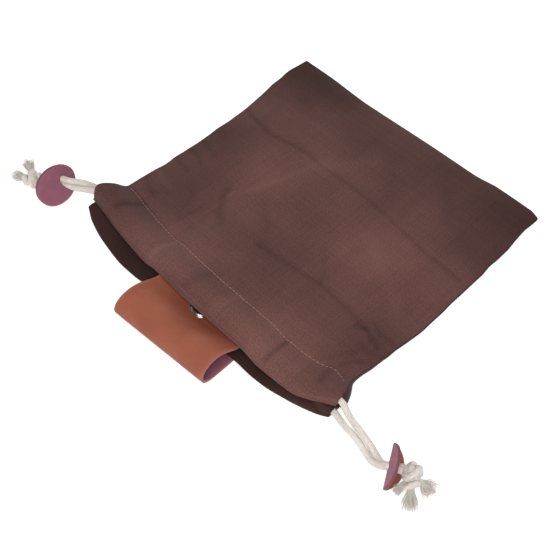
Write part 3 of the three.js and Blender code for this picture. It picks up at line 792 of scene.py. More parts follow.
@dataclass(frozen=True)
class Rope:
    """A round cord's section: its diameter, sides, and the ribs that wind round it."""

    diameter: float
    sides: int = 18
    ribs: int = 3
    rib_depth: float = 0.06
    lay: float = 26.0

    def surface(self, line: np.ndarray, taper: Callable[[np.ndarray], np.ndarray] | None = None) -> tuple:
        """Wraps the cord's surface round a line.

        Args:
            line: The centreline's points in millimetres.
            taper: Share of the diameter at each share of the length.

        Returns:
            Points in millimetres, faces, and a place on the surface for each point, in metres.
        """
        tangent = np.gradient(line, axis=0)
        tangent /= np.linalg.norm(tangent, axis=1)[:, None]
        side = np.cross(tangent[0], (0.3, 0.2, 1.0))
        run = np.concatenate([[0], np.cumsum(np.linalg.norm(np.diff(line, axis=0), axis=1))])
        share = run / run[-1]
        thick = np.ones(len(line)) if taper is None else taper(share)
        angle = np.arange(self.sides) / self.sides * 2 * np.pi
        points, uv = [], []
        for i, way in enumerate(tangent):
            side = side - way * (side @ way)
            side /= np.linalg.norm(side)
            up = np.cross(way, side)
            ribs = 1 + self.rib_depth * np.cos(self.ribs * (angle - 2 * np.pi * run[i] / self.lay))
            radius = self.diameter / 2 * thick[i] * ribs / (1 + self.rib_depth)
            ring = np.outer(np.cos(angle) * radius, side) + np.outer(np.sin(angle) * radius, up)
            points.append(line[i] + ring)
            uv.append(np.stack([angle * self.diameter / 2, np.full(self.sides, run[i])], 1) * MM)
        count = len(line) * self.sides
        faces = [tuple(f) for f in grid_faces(len(line), self.sides, True)]
        faces += [tuple(range(self.sides))[::-1], tuple(range(count - self.sides, count))]
        return np.concatenate(points), faces, np.concatenate(uv)


def joined(parts: Sequence[tuple]) -> tuple:
    """Joins surfaces into one.

    Args:
        parts: Points, faces and surface places of each.

    Returns:
        Points, faces and surface places of all.
    """
    points, faces, uv, start = [], [], [], 0
    for part_points, part_faces, part_uv in parts:
        points.append(part_points)
        uv.append(part_uv)
        faces += [tuple(i + start for i in f) for f in part_faces]
        start += len(part_points)
    return np.concatenate(points), faces, np.concatenate(uv)


class NodeTree:
    """A short way to write a node tree."""

    def __init__(self, tree: bpy.types.NodeTree) -> None:
        """Keeps the tree.

        Args:
            tree: The tree that nodes are added to.
        """
        self.tree = tree

    def add(self, kind: str, values: dict[Any, Any] | None = None, **settings: Any) -> bpy.types.Node:
        """Adds a node.

        Args:
            kind: Its type without "ShaderNode".
            values: A number, colour or other node's socket for each of its inputs.
            **settings: Its settings.

        Returns:
            The node.
        """
        node = self.tree.nodes.new("ShaderNode" + kind)
        for name, value in settings.items():
            setattr(node, name, value)
        for key, value in (values or {}).items():
            if isinstance(value, bpy.types.NodeSocket):
                self.tree.links.new(value, node.inputs[key])
            else:
                node.inputs[key].default_value = value
        return node

    def math(self, operation: str, a: Any, b: Any = 0.0) -> bpy.types.NodeSocket:
        """Adds a math node.

        Args:
            operation: What it does.
            a: Its first value or socket.
            b: Its second value or socket.

        Returns:
            The result's socket.
        """
        return self.add("Math", {0: a, 1: b}, operation=operation).outputs[0]

    def mix(self, share: Any, a: Any, b: Any, blend: str = "MIX") -> bpy.types.NodeSocket:
        """Adds a colour mix.

        Args:
            share: How much of b there is.
            a: The first colour or socket.
            b: The second colour or socket.
            blend: How they are mixed.

        Returns:
            The mixed colour's socket.
        """
        node = self.add("Mix", {0: share, 6: a, 7: b}, data_type="RGBA", blend_type=blend)
        return node.outputs[2]

    def link(self, socket: bpy.types.NodeSocket, to: bpy.types.NodeSocket) -> None:
        """Links one socket to another."""
        self.tree.links.new(socket, to)

    def use(
        self, group: bpy.types.NodeTree, vector: bpy.types.NodeSocket, *numbers: float
    ) -> bpy.types.Node:
        """Adds a node group.

        Args:
            group: The group.
            vector: The socket of the places on the surface.
            *numbers: The values of its further inputs, in their order.

        Returns:
            The group's node.
        """
        node = self.add("Group", node_tree=group)
        self.link(vector, node.inputs[0])
        for index, number in enumerate(numbers, 1):
            node.inputs[index].default_value = number
        return node

    def dim(self, colour: bpy.types.NodeSocket, amount: bpy.types.NodeSocket) -> bpy.types.NodeSocket:
        """Multiplies a colour by a number.

        Args:
            colour: The colour's socket.
            amount: The number's socket.

        Returns:
            The result's socket.
        """
        grey = self.add("CombineColor", {0: amount, 1: amount, 2: amount}).outputs[0]
        return self.mix(1.0, colour, grey, "MULTIPLY")

    def span(self, value: Any, low: float, high: float, to_low: float = 0, to_high: float = 1) -> Any:
        """Maps a value from one range to another, held at its ends.

        Args:
            value: The value's socket.
            low: Start of its range.
            high: End of its range.
            to_low: What low becomes.
            to_high: What high becomes.

        Returns:
            The result's socket.
        """
        node = self.add("MapRange", {0: value, 1: low, 2: high, 3: to_low, 4: to_high})
        return node.outputs[0]


def node_group(name: str, inputs: dict[str, tuple[str, Any]], outputs: Sequence[str]) -> tuple:
    """Starts a shader node group.

    Args:
        name: Its name.
        inputs: The kind and first value of each input.
        outputs: The names of its outputs, all numbers.

    Returns:
        The group, its tree, its input node and its output node.
    """
    group = bpy.data.node_groups.new(name, "ShaderNodeTree")
    for label, (kind, value) in inputs.items():
        socket = group.interface.new_socket(label, in_out="INPUT", socket_type="NodeSocket" + kind)
        if value is not None:
            socket.default_value = value
    for label in outputs:
        group.interface.new_socket(label, in_out="OUTPUT", socket_type="NodeSocketFloat")
    tree = NodeTree(group)
    return group, tree, tree.tree.nodes.new("NodeGroupInput"), tree.tree.nodes.new("NodeGroupOutput")


class Effects:
    """Node groups that several finishes use."""

    def __init__(self) -> None:
        """Builds each group once."""
        self.weave = self._weave()
        self.mottle = self._mottle()
        self.grain = self._grain()

    def _weave(self) -> bpy.types.NodeTree:
        """Plain weave of threads over and under each other.

        Returns:
            The group: Height over the threads and Thread, a shade that changes from thread to thread.
        """
        group, tree, start, end = node_group(
            "plain_weave", {"Vector": ("Vector", None), "Pitch": ("Float", 0.0007)}, ("Height", "Thread")
        )
        wobble = tree.add("TexNoise", {"Vector": start.outputs[0], "Scale": 140.0, "Detail": 1.0})
        shifted = tree.add(
            "VectorMath", {0: wobble.outputs["Color"], 1: (0.00035,) * 3, 2: start.outputs[0]},
            operation="MULTIPLY_ADD",
        )
        parts = tree.add("SeparateXYZ", {0: shifted.outputs[0]})
        waves, threads = [], []
        for axis in (0, 1):
            turns = tree.math("DIVIDE", parts.outputs[axis], start.outputs[1])
            waves.append(tree.math("SINE", tree.math("MULTIPLY", turns, math.pi)))
            threads.append(tree.math("FLOOR", turns))
        over = tree.math("MULTIPLY", waves[0], waves[1])
        height = tree.add("Math", {0: over, 1: 0.5, 2: 0.5}, operation="MULTIPLY_ADD")
        tree.link(height.outputs[0], end.inputs[0])
        strand = tree.add("CombineXYZ", {0: threads[0], 1: 0.0})
        other = tree.add("CombineXYZ", {0: 0.0, 1: threads[1]})
        first = tree.add("TexWhiteNoise", {0: strand.outputs[0]}, noise_dimensions="3D")
        second = tree.add("TexWhiteNoise", {0: other.outputs[0]}, noise_dimensions="3D")
        both = tree.math("ADD", first.outputs[0], second.outputs[0])
        tree.link(tree.math("MULTIPLY", both, 0.5), end.inputs[1])
        return group

    def _mottle(self) -> bpy.types.NodeTree:
        """Cloudy change of shade at two sizes.

        Returns:
            The group: Broad for clouds and Fine for fibres, both round 0.5.
        """
        group, tree, start, end = node_group(
            "mottle",
            {"Vector": ("Vector", None), "Broad Scale": ("Float", 18.0), "Fine Scale": ("Float", 900.0)},
            ("Broad", "Fine"),
        )
        for index, detail in ((1, 4.0), (2, 3.0)):
            values = {"Vector": start.outputs[0], "Scale": start.outputs[index], "Detail": detail}
            tree.link(tree.add("TexNoise", values).outputs[0], end.inputs[index - 1])
        return group

    def _grain(self) -> bpy.types.NodeTree:
        """Pebbled leather grain with fine pores.

        Returns:
            The group: Height of the grain.
        """
        group, tree, start, end = node_group(
            "leather_grain", {"Vector": ("Vector", None), "Scale": ("Float", 900.0)}, ("Height",)
        )
        bend = tree.add("TexNoise", {"Vector": start.outputs[0], "Scale": 300.0, "Detail": 2.0})
        warped = tree.add(
            "VectorMath", {0: bend.outputs["Color"], 1: (0.0012,) * 3, 2: start.outputs[0]},
            operation="MULTIPLY_ADD",
        )
        cells = tree.add(
            "TexVoronoi", {"Vector": warped.outputs[0], "Scale": start.outputs[1]},
            feature="SMOOTH_F1",
        )
        pores = tree.add("TexNoise", {"Vector": start.outputs[0], "Scale": 2600.0, "Detail": 2.0})
        total = tree.math("ADD", cells.outputs[0], tree.math("MULTIPLY", pores.outputs[0], 0.35))
        tree.link(total, end.inputs[0])
        return group


def srgb(red: float, green: float, blue: float) -> tuple[float, float, float, float]:
    """Turns a colour of 0 to 255 into Blender's linear one.

    Args:
        red: Red.
        green: Green.
        blue: Blue.

    Returns:
        Red, green, blue and alpha.
    """
    shares = (red / 255, green / 255, blue / 255)
    linear = (c / 12.92 if c < 0.04045 else ((c + 0.055) / 1.055) ** 2.4 for c in shares)
    return (*linear, 1.0)


@dataclass(frozen=True)
class Finish:
    """What every finish has: its colours, gloss and how strongly its surface stands out."""

    name: str
    colour: tuple[float, float, float]
    dark: tuple[float, float, float]
    pale: tuple[float, float, float]
    roughness: float
    bump: float = 0.3
    sheen: float = 0.0
    metallic: float = 0.0
    specular: float = 0.35

    def start(self) -> tuple[bpy.types.Material, NodeTree, bpy.types.Node]:
        """Makes the material and sets its shader's plain sockets.

        Returns:
            The material, its tree and its shader.
        """
        material = bpy.data.materials.new(self.name)
        material.use_nodes = True
        tree = NodeTree(material.node_tree)
        shader = material.node_tree.nodes["Principled BSDF"]
        shader.inputs["Base Color"].default_value = srgb(*self.colour)
        shader.inputs["Roughness"].default_value = self.roughness
        shader.inputs["Metallic"].default_value = self.metallic
        shader.inputs["Sheen Weight"].default_value = self.sheen
        shader.inputs["Sheen Roughness"].default_value = 0.5
        shader.inputs["Specular IOR Level"].default_value = self.specular
        material.diffuse_color = srgb(*self.colour)
        return material, tree, shader

    def surface(self, tree: NodeTree) -> bpy.types.NodeSocket:
        """Places on the piece's own surface, in metres.

        Args:
            tree: The material's tree.

        Returns:
            The UV map's socket.
        """
        return tree.add("UVMap", uv_map="surface").outputs[0]

    def wear_and_painted_shade(self, tree: NodeTree) -> bpy.types.NodeSocket:
        """The value of the surface that pales worn places and darkens painted shade.

        Args:
            tree: The material's tree.

        Returns:
            The attribute's socket.
        """
        return tree.add("Attribute", attribute_name="wear_and_painted_shade").outputs["Fac"]

    def emboss(self, tree: NodeTree, shader: bpy.types.Node, heights: Sequence[tuple[Any, float]]) -> None:
        """Raises the surface by some heights.

        Args:
            tree: The material's tree.
            shader: Its shader.
            heights: A height's socket and its distance in metres, for each.
        """
        normal: Any = None
        for height, distance in heights:
            values = {"Strength": self.bump, "Distance": distance, "Height": height}
            if normal is not None:
                values["Normal"] = normal
            normal = tree.add("Bump", values).outputs[0]
        tree.link(normal, shader.inputs["Normal"])


@dataclass(frozen=True)
class Canvas(Finish):
    """Dyed cotton canvas, with painted shade in its creases and between its threads, and paler ridges that
    are partly rubbed and partly a painted highlight.
    """

    pitch: float = 0.00075

    def build(self, effects: Effects) -> bpy.types.Material:
        """Builds the material.

        Args:
            effects: The shared node groups.

        Returns:
            The material.
        """
        material, tree, shader = self.start()
        place_on = self.surface(tree)
        weave = tree.use(effects.weave, place_on, self.pitch)
        mottle = tree.use(effects.mottle, place_on)
        clouds = tree.span(mottle.outputs[0], 0.3, 0.7)
        base = tree.mix(clouds, srgb(*self.dark), srgb(*self.colour))
        threads = tree.span(weave.outputs[1], 0.1, 0.9, 0.92, 1.08)
        fibres = tree.span(mottle.outputs[1], 0.3, 0.7, 0.76, 1.26)
        # Painted shade: the colour is darker where the weave lies low between the raised threads.
        painted_thread_gap_shade = tree.span(weave.outputs[0], 0.0, 0.6, 0.82, 1.04)
        shade = tree.math("MULTIPLY", tree.math("MULTIPLY", threads, fibres), painted_thread_gap_shade)
        toned = tree.dim(base, shade)
        wear_and_painted_shade = self.wear_and_painted_shade(tree)
        # Paler above 0, for random tone and for ridges that are partly rubbed and partly a painted highlight;
        # darker below 0, for random tone and for painted shade in creases, along seams, on the hidden back
        # hem strip and on the dimmer parts of the front.
        worn = tree.mix(tree.span(wear_and_painted_shade, 0.0, 1.0, 0.0, 0.55), toned, srgb(*self.pale))
        painted_shade_and_tone = tree.mix(tree.span(wear_and_painted_shade, 0.0, -1.0, 0.0, 0.86), worn, srgb(*self.dark), "MULTIPLY")
        tree.link(painted_shade_and_tone, shader.inputs["Base Color"])
        self.emboss(tree, shader, ((mottle.outputs[1], 0.00022), (weave.outputs[0], 0.00028)))
        return material


@dataclass(frozen=True)
class Leather(Finish):
    """Leather: the smooth grain side, or the napped suede side."""

    grain_scale: float = 900.0
    grain_depth: float = 0.00012
    clouds: float = 45.0
    pore_scale: float = 1500.0

    def build(self, effects: Effects) -> bpy.types.Material:
        """Builds the material.

        Args:
            effects: The shared node groups.

        Returns:
            The material.
        """
        material, tree, shader = self.start()
        place_on = self.surface(tree)
        mottle = tree.use(effects.mottle, place_on, self.clouds, self.pore_scale)
        grain = tree.use(effects.grain, place_on, self.grain_scale)
        clouds = tree.span(mottle.outputs[0], 0.32, 0.68)
        base = tree.mix(tree.math("MULTIPLY", clouds, 0.45), srgb(*self.colour), srgb(*self.dark))
        pores = tree.span(mottle.outputs[1], 0.35, 0.65, 0.9, 1.08)
        toned = tree.dim(base, pores)
        wear_and_painted_shade = self.wear_and_painted_shade(tree)
        worn = tree.mix(tree.span(wear_and_painted_shade, 0.0, 1.0, 0.0, 0.8), toned, srgb(*self.pale))
        # Darker below 0, which is painted shade: the strap's front bend and the ring round its snap.
        shaded = tree.mix(tree.span(wear_and_painted_shade, 0.0, -1.0, 0.0, 0.7), worn, srgb(*self.dark))
        tree.link(shaded, shader.inputs["Base Color"])
        gloss = tree.span(mottle.outputs[0], 0.3, 0.7, self.roughness - 0.06, self.roughness + 0.1)
        tree.link(gloss, shader.inputs["Roughness"])
        self.emboss(tree, shader, ((grain.outputs[0], self.grain_depth), (mottle.outputs[1], 0.00006)))
        return material


@dataclass(frozen=True)
class Cotton(Finish):
    """Soft cotton cord or thread, with fibres along it."""

    strand_scale: float = 400.0
    fibre_scale: float = 2600.0

    def build(self, effects: Effects) -> bpy.types.Material:
        """Builds the material.

        Args:
            effects: The shared node groups.

        Returns:
            The material.
        """
        material, tree, shader = self.start()
        stretched = tree.add("Mapping", {"Vector": self.surface(tree), "Scale": (1.0, 0.14, 1.0)})
        mottle = tree.use(effects.mottle, stretched.outputs[0], self.strand_scale, self.fibre_scale)
        clouds = tree.span(mottle.outputs[0], 0.3, 0.7)
        base = tree.mix(clouds, srgb(*self.dark), srgb(*self.colour))
        fibres = tree.span(mottle.outputs[1], 0.4, 0.75)
        tree.link(tree.mix(fibres, base, srgb(*self.pale)), shader.inputs["Base Color"])
        shader.inputs["Subsurface Weight"].default_value = 0.15
        shader.inputs["Subsurface Scale"].default_value = 0.002
        self.emboss(tree, shader, ((mottle.outputs[0], 0.0004), (mottle.outputs[1], 0.00025)))
        return material


@dataclass(frozen=True)
class Nickel(Finish):
    """Polished nickel with faint scuffs."""

    scuff_scale: float = 300.0

    def build(self, effects: Effects) -> bpy.types.Material:
        """Builds the material.

        Args:
            effects: The shared node groups.

        Returns:
            The material.
        """
        material, tree, shader = self.start()
        mottle = tree.use(effects.mottle, tree.add("TexCoord").outputs["Object"], self.scuff_scale)
        scuffs = tree.span(mottle.outputs[0], 0.45, 0.75, self.roughness, self.roughness + 0.16)
        tree.link(scuffs, shader.inputs["Roughness"])
        tint = tree.mix(tree.span(mottle.outputs[1], 0.4, 0.7), srgb(*self.dark), srgb(*self.colour))
        tree.link(tint, shader.inputs["Base Color"])
        self.emboss(tree, shader, ((mottle.outputs[0], 0.00001),))
        return material


class Wardrobe:
    """Every finish of the bag, built once."""

    def __init__(self) -> None:
        """Builds the finishes."""
        effects = Effects()
        self.canvas = Canvas(
            "brown_canvas", (107, 71, 65), (92, 59, 54), (132, 96, 88), 0.95, 0.55, 0.04
        ).build(effects)
        self.leather = Leather(
            "tan_leather", (149, 85, 65), (116, 56, 34), (162, 104, 88), 0.56, 0.35, specular=0.22
        ).build(effects)
        self.suede = Leather(
            "maroon_suede", (138, 82, 100), (108, 58, 78), (156, 108, 124), 0.95, 0.7, 0.15,
            grain_scale=2200.0, grain_depth=0.0001, clouds=120.0,
        ).build(effects)
        self.cut_edge = Leather(
            "leather_cut_edge", (138, 82, 80), (108, 58, 60), (166, 112, 104), 0.8, 0.6,
            grain_scale=1800.0, grain_depth=0.0001, clouds=200.0,
        ).build(effects)
        self.suede_edge = Leather(
            "suede_cut_edge", (112, 62, 72), (88, 46, 54), (132, 82, 92), 0.9, 0.6, 0.1,
            grain_scale=1800.0, grain_depth=0.0001, clouds=200.0,
        ).build(effects)
        self.nickel = Nickel(
            "polished_nickel", (206, 206, 202), (182, 180, 176), (230, 230, 228), 0.12, metallic=1.0
        ).build(effects)
        self.cotton = Cotton(
            "cotton_cord", (213, 206, 199), (178, 168, 158), (230, 224, 218), 0.95, 0.8, 0.1
        ).build(effects)
        self.thread = Cotton(
            "cream_thread", (166, 136, 122), (124, 92, 82), (196, 168, 152), 0.85, 0.4, 0.1
        ).build(effects)


def dress(
    obj: bpy.types.Object, materials: Sequence[bpy.types.Material], replaced: Sequence[str] = ()
) -> bpy.types.Object:
    """Gives a finished piece its materials and its place in the frame.

    Args:
        obj: The piece.
        materials: Its materials in the order of its faces' indices.
        replaced: The CAD nodes that it stands for.

    Returns:
        The same piece.
    """
    if not obj.data.materials:
        for material in materials:
            obj.data.materials.append(material)
    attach(obj, BODY)
    if replaced:
        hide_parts(*replaced)
    LOG.info("%s: %d faces", obj.name, len(obj.data.polygons))
    return obj


@dataclass
class Panels:
    """The front and back canvas panels, their seams and the hem's stitches."""

    finishes: Wardrobe
    places: int = 140
    steps: Steps = field(default_factory=Steps)
    stitch_length: float = 2.5
    stitch_pitch: float = 3.3
    thread: float = 0.42
    edge_round: float = 0.35
    seam_bulge: float = 0.9
    side_wobble: float = 1.3
    crease_depth: float = 0.95
    crease_painted_shading: float = 0.3
    hem_crease_painted_shading: float = 0.6
    last_stitches: float = 12.0
    flap_steps: int = 28
    inner_ripple: float = 0.3
    inner_painted_shade: float = 1.0
    seam_painted_shade: float = 0.9

    def _stations(self) -> np.ndarray:
        """Places across the bag, closer together at its sides."""
        even = np.linspace(-1, 1, self.places)
        return 0.62 * even + 0.38 * np.sin(even * np.pi / 2)

    def _grid(self, line: Callable[[float, Steps], np.ndarray]) -> np.ndarray:
        """Middle surface of a panel.

        Args:
            line: Its middle line at a place across.

        Returns:
            Points in millimetres, places across by points along by 3.
        """
        rows = []
        for across in self._stations():
            y, z = line(float(across), self.steps).T
            pucker = self.side_wobble * cloth_noise(y, 0 * y + 30 * across, 12, 71) * abs(across) ** 9
            rows.append(np.stack([side_x(y, float(across)) - math.copysign(1, across) * pucker, y, z], 1))
        return np.stack(rows)

    def _relief(self, grid: np.ndarray) -> tuple[np.ndarray, np.ndarray]:
        """Creases and soft waves of the front panel.

        Args:
            grid: Its middle surface.

        Returns:
            The height to add, and at each point a value of random tone, painted shade in creases and towards
            the dim edges, and paler ridges that are partly rubbed and partly a painted highlight.
        """
        x, y = grid[..., 0], grid[..., 1]
        body_count, hem_count = self.steps.body, self.steps.hem
        number = np.arange(grid.shape[1])
        body = (number < body_count).astype(float)
        hem = ((number >= body_count) & (number < body_count + hem_count - 3)).astype(float)
        across = np.abs(self._stations())[:, None]
        rim = 1 - across**14
        along = 1 - number / body_count
        ends = smoothstep(number / body_count, 0.0, 0.10) * body
        height, wear_and_painted_shade = np.zeros(x.shape), np.zeros(x.shape)
        for creases, mask, shade in (
            (FRONT_CREASES, body, self.crease_painted_shading), (HEM_CREASES, hem, self.hem_crease_painted_shading)
        ):
            for crease in creases:
                raised, near = crease.height(x, y)
                height += raised * mask * self.crease_depth
                # Painted shade along valley creases; ridges are paler, partly as rubbed cloth and partly as a
                # painted highlight.
                wear_and_painted_shade += near * mask * shade * np.clip(crease.depth, -1, 1)
        for size, high, seed in WAVES:
            height += high * cloth_noise(x, y, size, seed) * body
        near_stitch = smoothstep(along, 0.0, 0.06)
        from_stitch = y - grid[:, body_count, 1][:, None]
        puckers = 0.3 * cloth_noise(x, y * 0.25, 6.5, 12) * bell(from_stitch, 0, 9)
        height = height * np.where(body > 0, ends * near_stitch, 1) + puckers * (body + hem)
        height *= rim
        height += 0.16 * cloth_noise(x, y, 14, 21) * hem * rim
        wear_and_painted_shade += 0.3 * cloth_noise(x, y, 60, 31) * (body + hem)
        # Painted shade: the cloth is darkened towards the far end, the right and left sides and the left part
        # of the hem, where less light falls.
        left, right, far = -x, x, y
        for amount, towards, low, high, where in (
            (0.36, far, 150, 235, 1.0),
            (0.20, right, 55, 118, smoothstep(far, 10, 80)),
            (0.38, left, 40, 118, 1.0),
            (0.30, left, 20, 90, hem),
        ):
            wear_and_painted_shade -= amount * smoothstep(towards, low, high) * where
        return height, np.clip(wear_and_painted_shade, -1, 1)

    def _cloth(self, name: str, grid: np.ndarray, wear_and_painted_shade: np.ndarray, nodes: Sequence[str]) -> bpy.types.Object:
        """Thickens a panel's middle surface.

        Args:
            name: The piece's name.
            grid: The middle surface.
            wear_and_painted_shade: The value at each point that pales worn places and darkens painted shade.
            nodes: The CAD nodes that it replaces.

        Returns:
            The panel.
        """
        obj = grid_piece(name, grid, wear_and_painted_shade)
        thicken(obj, Bag.cloth, thickness_clamp=1.0)
        round_edges(obj, self.edge_round, 60, harden_normals=False)
        smooth(obj, 50)
        return dress(obj, (self.finishes.canvas,), nodes)

    def front(self) -> bpy.types.Object:
        """Builds the front panel.

        Returns:
            The panel.
        """
        grid = self._grid(front_line)
        height, wear_and_painted_shade = self._relief(grid)
        grid[..., 2] += height
        body = slice(0, self.steps.body)
        floor = 1.5 * Bag.cloth + Bag.seam_gap
        grid[:, body, 2] = np.maximum(grid[:, body, 2], floor)
        self.front_grid = grid
        return self._cloth("front_panel_cloth", grid, wear_and_painted_shade, ["front_panel"])

    def back(self) -> bpy.types.Object:
        """Builds the back panel.

        Returns:
            The panel.
        """
        grid = self._grid(back_line)
        upper = np.arange(grid.shape[1]) >= self.steps.body + self.steps.turned + self.steps.fold
        ripple = 1 + cloth_noise(grid[..., 0], grid[..., 1], 13, 47)
        grid[..., 2] += self.inner_ripple * ripple * upper
        self.back_grid = grid
        wear_and_painted_shade = 0.4 * cloth_noise(grid[..., 0], grid[..., 1], 50, 44)
        # Painted shade: the back panel's turned-in hem strip, lying under the front hem, is darkened all
        # over.
        wear_and_painted_shade[:, self.steps.body + self.steps.turned :] -= self.inner_painted_shade
        return self._cloth("back_panel_cloth", grid, np.clip(wear_and_painted_shade, -1, 1), ["back_panel"])

    def _edge_roll(
        self, name: str, front: np.ndarray, back: np.ndarray, way: tuple[float, float, float], bulge: Any
    ) -> bpy.types.Object:
        """A rounded turned seam that joins the two panels' edges.

        Args:
            name: The piece's name.
            front: The front panel's edge in millimetres.
            back: The back panel's edge.
            way: The way out of the bag.
            bulge: How far the seam stands out at each point.

        Returns:
            The seam.
        """
        count = 10
        angle = np.linspace(-np.pi / 2, np.pi / 2, count)
        inset = 0.6
        rows = []
        out = np.array(way)
        for top, low, reach in zip(front, back, bulge + np.zeros(len(front))):
            high, under = top[2] + Bag.cloth / 2, max(low[2] - Bag.cloth / 2, 0.02)
            middle, half = (high + under) / 2, (high - under) / 2
            base = (top + low) / 2 - out * inset
            ring = [base + out * (inset + reach) * math.cos(a) for a in angle]
            rows.append([(p[0], p[1], middle + half * math.sin(a)) for p, a in zip(ring, angle)])
        points = np.array(rows)
        run = np.cumsum(np.linalg.norm(np.diff(points[:, 0], axis=0, prepend=points[:1, 0]), axis=1))
        girth = np.linspace(0, 3.5, count)
        uv = np.stack(np.meshgrid(run, girth, indexing="ij"), -1) * MM
        faces = [tuple(f) for f in grid_faces(len(rows), count, True)]
        faces += [tuple(range(count)), tuple(range((len(rows) - 1) * count, len(rows) * count))[::-1]]
        # Painted shade: the seam rolls are darkened all along, where they turn under at the bag's edges.
        wear_and_painted_shade = np.full(points.size // 3, -self.seam_painted_shade)
        obj = mesh_piece(name, place(points.reshape(-1, 3)), faces, uv.reshape(-1, 2), wear_and_painted_shade)
        choose(obj)
        bpy.ops.object.mode_set(mode="EDIT")
        bpy.ops.mesh.select_all(action="SELECT")
        bpy.ops.mesh.normals_make_consistent(inside=False)
        bpy.ops.object.mode_set(mode="OBJECT")
        smooth(obj, 60)
        return dress(obj, (self.finishes.canvas,))

    def seams(self) -> list[bpy.types.Object]:
        """Builds the turned seams at both sides and at the bottom.

        Returns:
            The three seams.
        """
        body, below = self.steps.body, self.steps.body + self.steps.turned
        pieces = []
        for name, row, way, mouth_end in (
            ("left_side_seam", 0, -1.0, body + 1), ("right_side_seam", -1, 1.0, body + self.flap_steps)
        ):
            front, back = self.front_grid[row, :mouth_end], self.back_grid[row, :below]
            columns = [np.interp(front[::-1, 1], back[::-1, 1], back[::-1, k])[::-1] for k in range(3)]
            back = np.stack(columns, 1)
            bulge = self.seam_bulge
            if way > 0:
                bulge = bulge + FLAP(front[:, 1])
            pieces.append(self._edge_roll(name, front, back, (way, 0.0, 0.0), bulge))
        front, back = self.front_grid[:, 0], self.back_grid[:, 0]
        pieces.append(self._edge_roll("bottom_seam", front, back, (0.0, 1.0, 0.0), self.seam_bulge))
        return pieces

    def stitches(self) -> bpy.types.Object:
        """Sews the front hem's stitch line as one piece of many short stitches.

        Returns:
            The stitches.
        """
        spacing = Bag.hem_depth / self.steps.hem
        further = self.last_stitches * smoothstep(self._stations(), 0.86, 1.0) / spacing
        at = self.steps.body + 1 + further
        low = at.astype(int)
        row, share = np.arange(self.places), (at - low)[:, None]
        top = lerp(self.front_grid[row, low], self.front_grid[row, low + 1], share)
        top = top + (0, 0, Bag.cloth / 2 + self.thread * 0.18)
        line = spaced(top[3:-3], 0.4)
        run = np.concatenate([[0], np.cumsum(np.linalg.norm(np.diff(line, axis=0), axis=1))])
        random = np.random.default_rng(17)
        rope = Rope(self.thread, sides=6, ribs=2, rib_depth=0.05, lay=2.0)
        parts = []
        for start in np.arange(0.6, run[-1] - self.stitch_length, self.stitch_pitch):
            length = self.stitch_length * random.uniform(0.9, 1.08)
            at = start + np.linspace(0, length, 6)
            points = np.stack([np.interp(at, run, line[:, k]) for k in range(3)], 1)
            points[:, 1] += np.linspace(-0.1, 0.1, 6) + random.uniform(-0.12, 0.12)
            points[:, 2] -= np.array([0.42, 0.08, 0, 0, 0.08, 0.42]) + random.uniform(-0.05, 0.1)
            parts.append(rope.surface(points))
        points, faces, uv = joined(parts)
        obj = mesh_piece("front_hem_stitches", place(points), faces, uv)
        smooth(obj, 60)
        return dress(obj, (self.finishes.thread,))

    def build(self) -> None:
        """Builds both panels, the seams and the stitches."""
        front, back = self.front(), self.back()
        seams = self.seams()
        stitches = self.stitches()


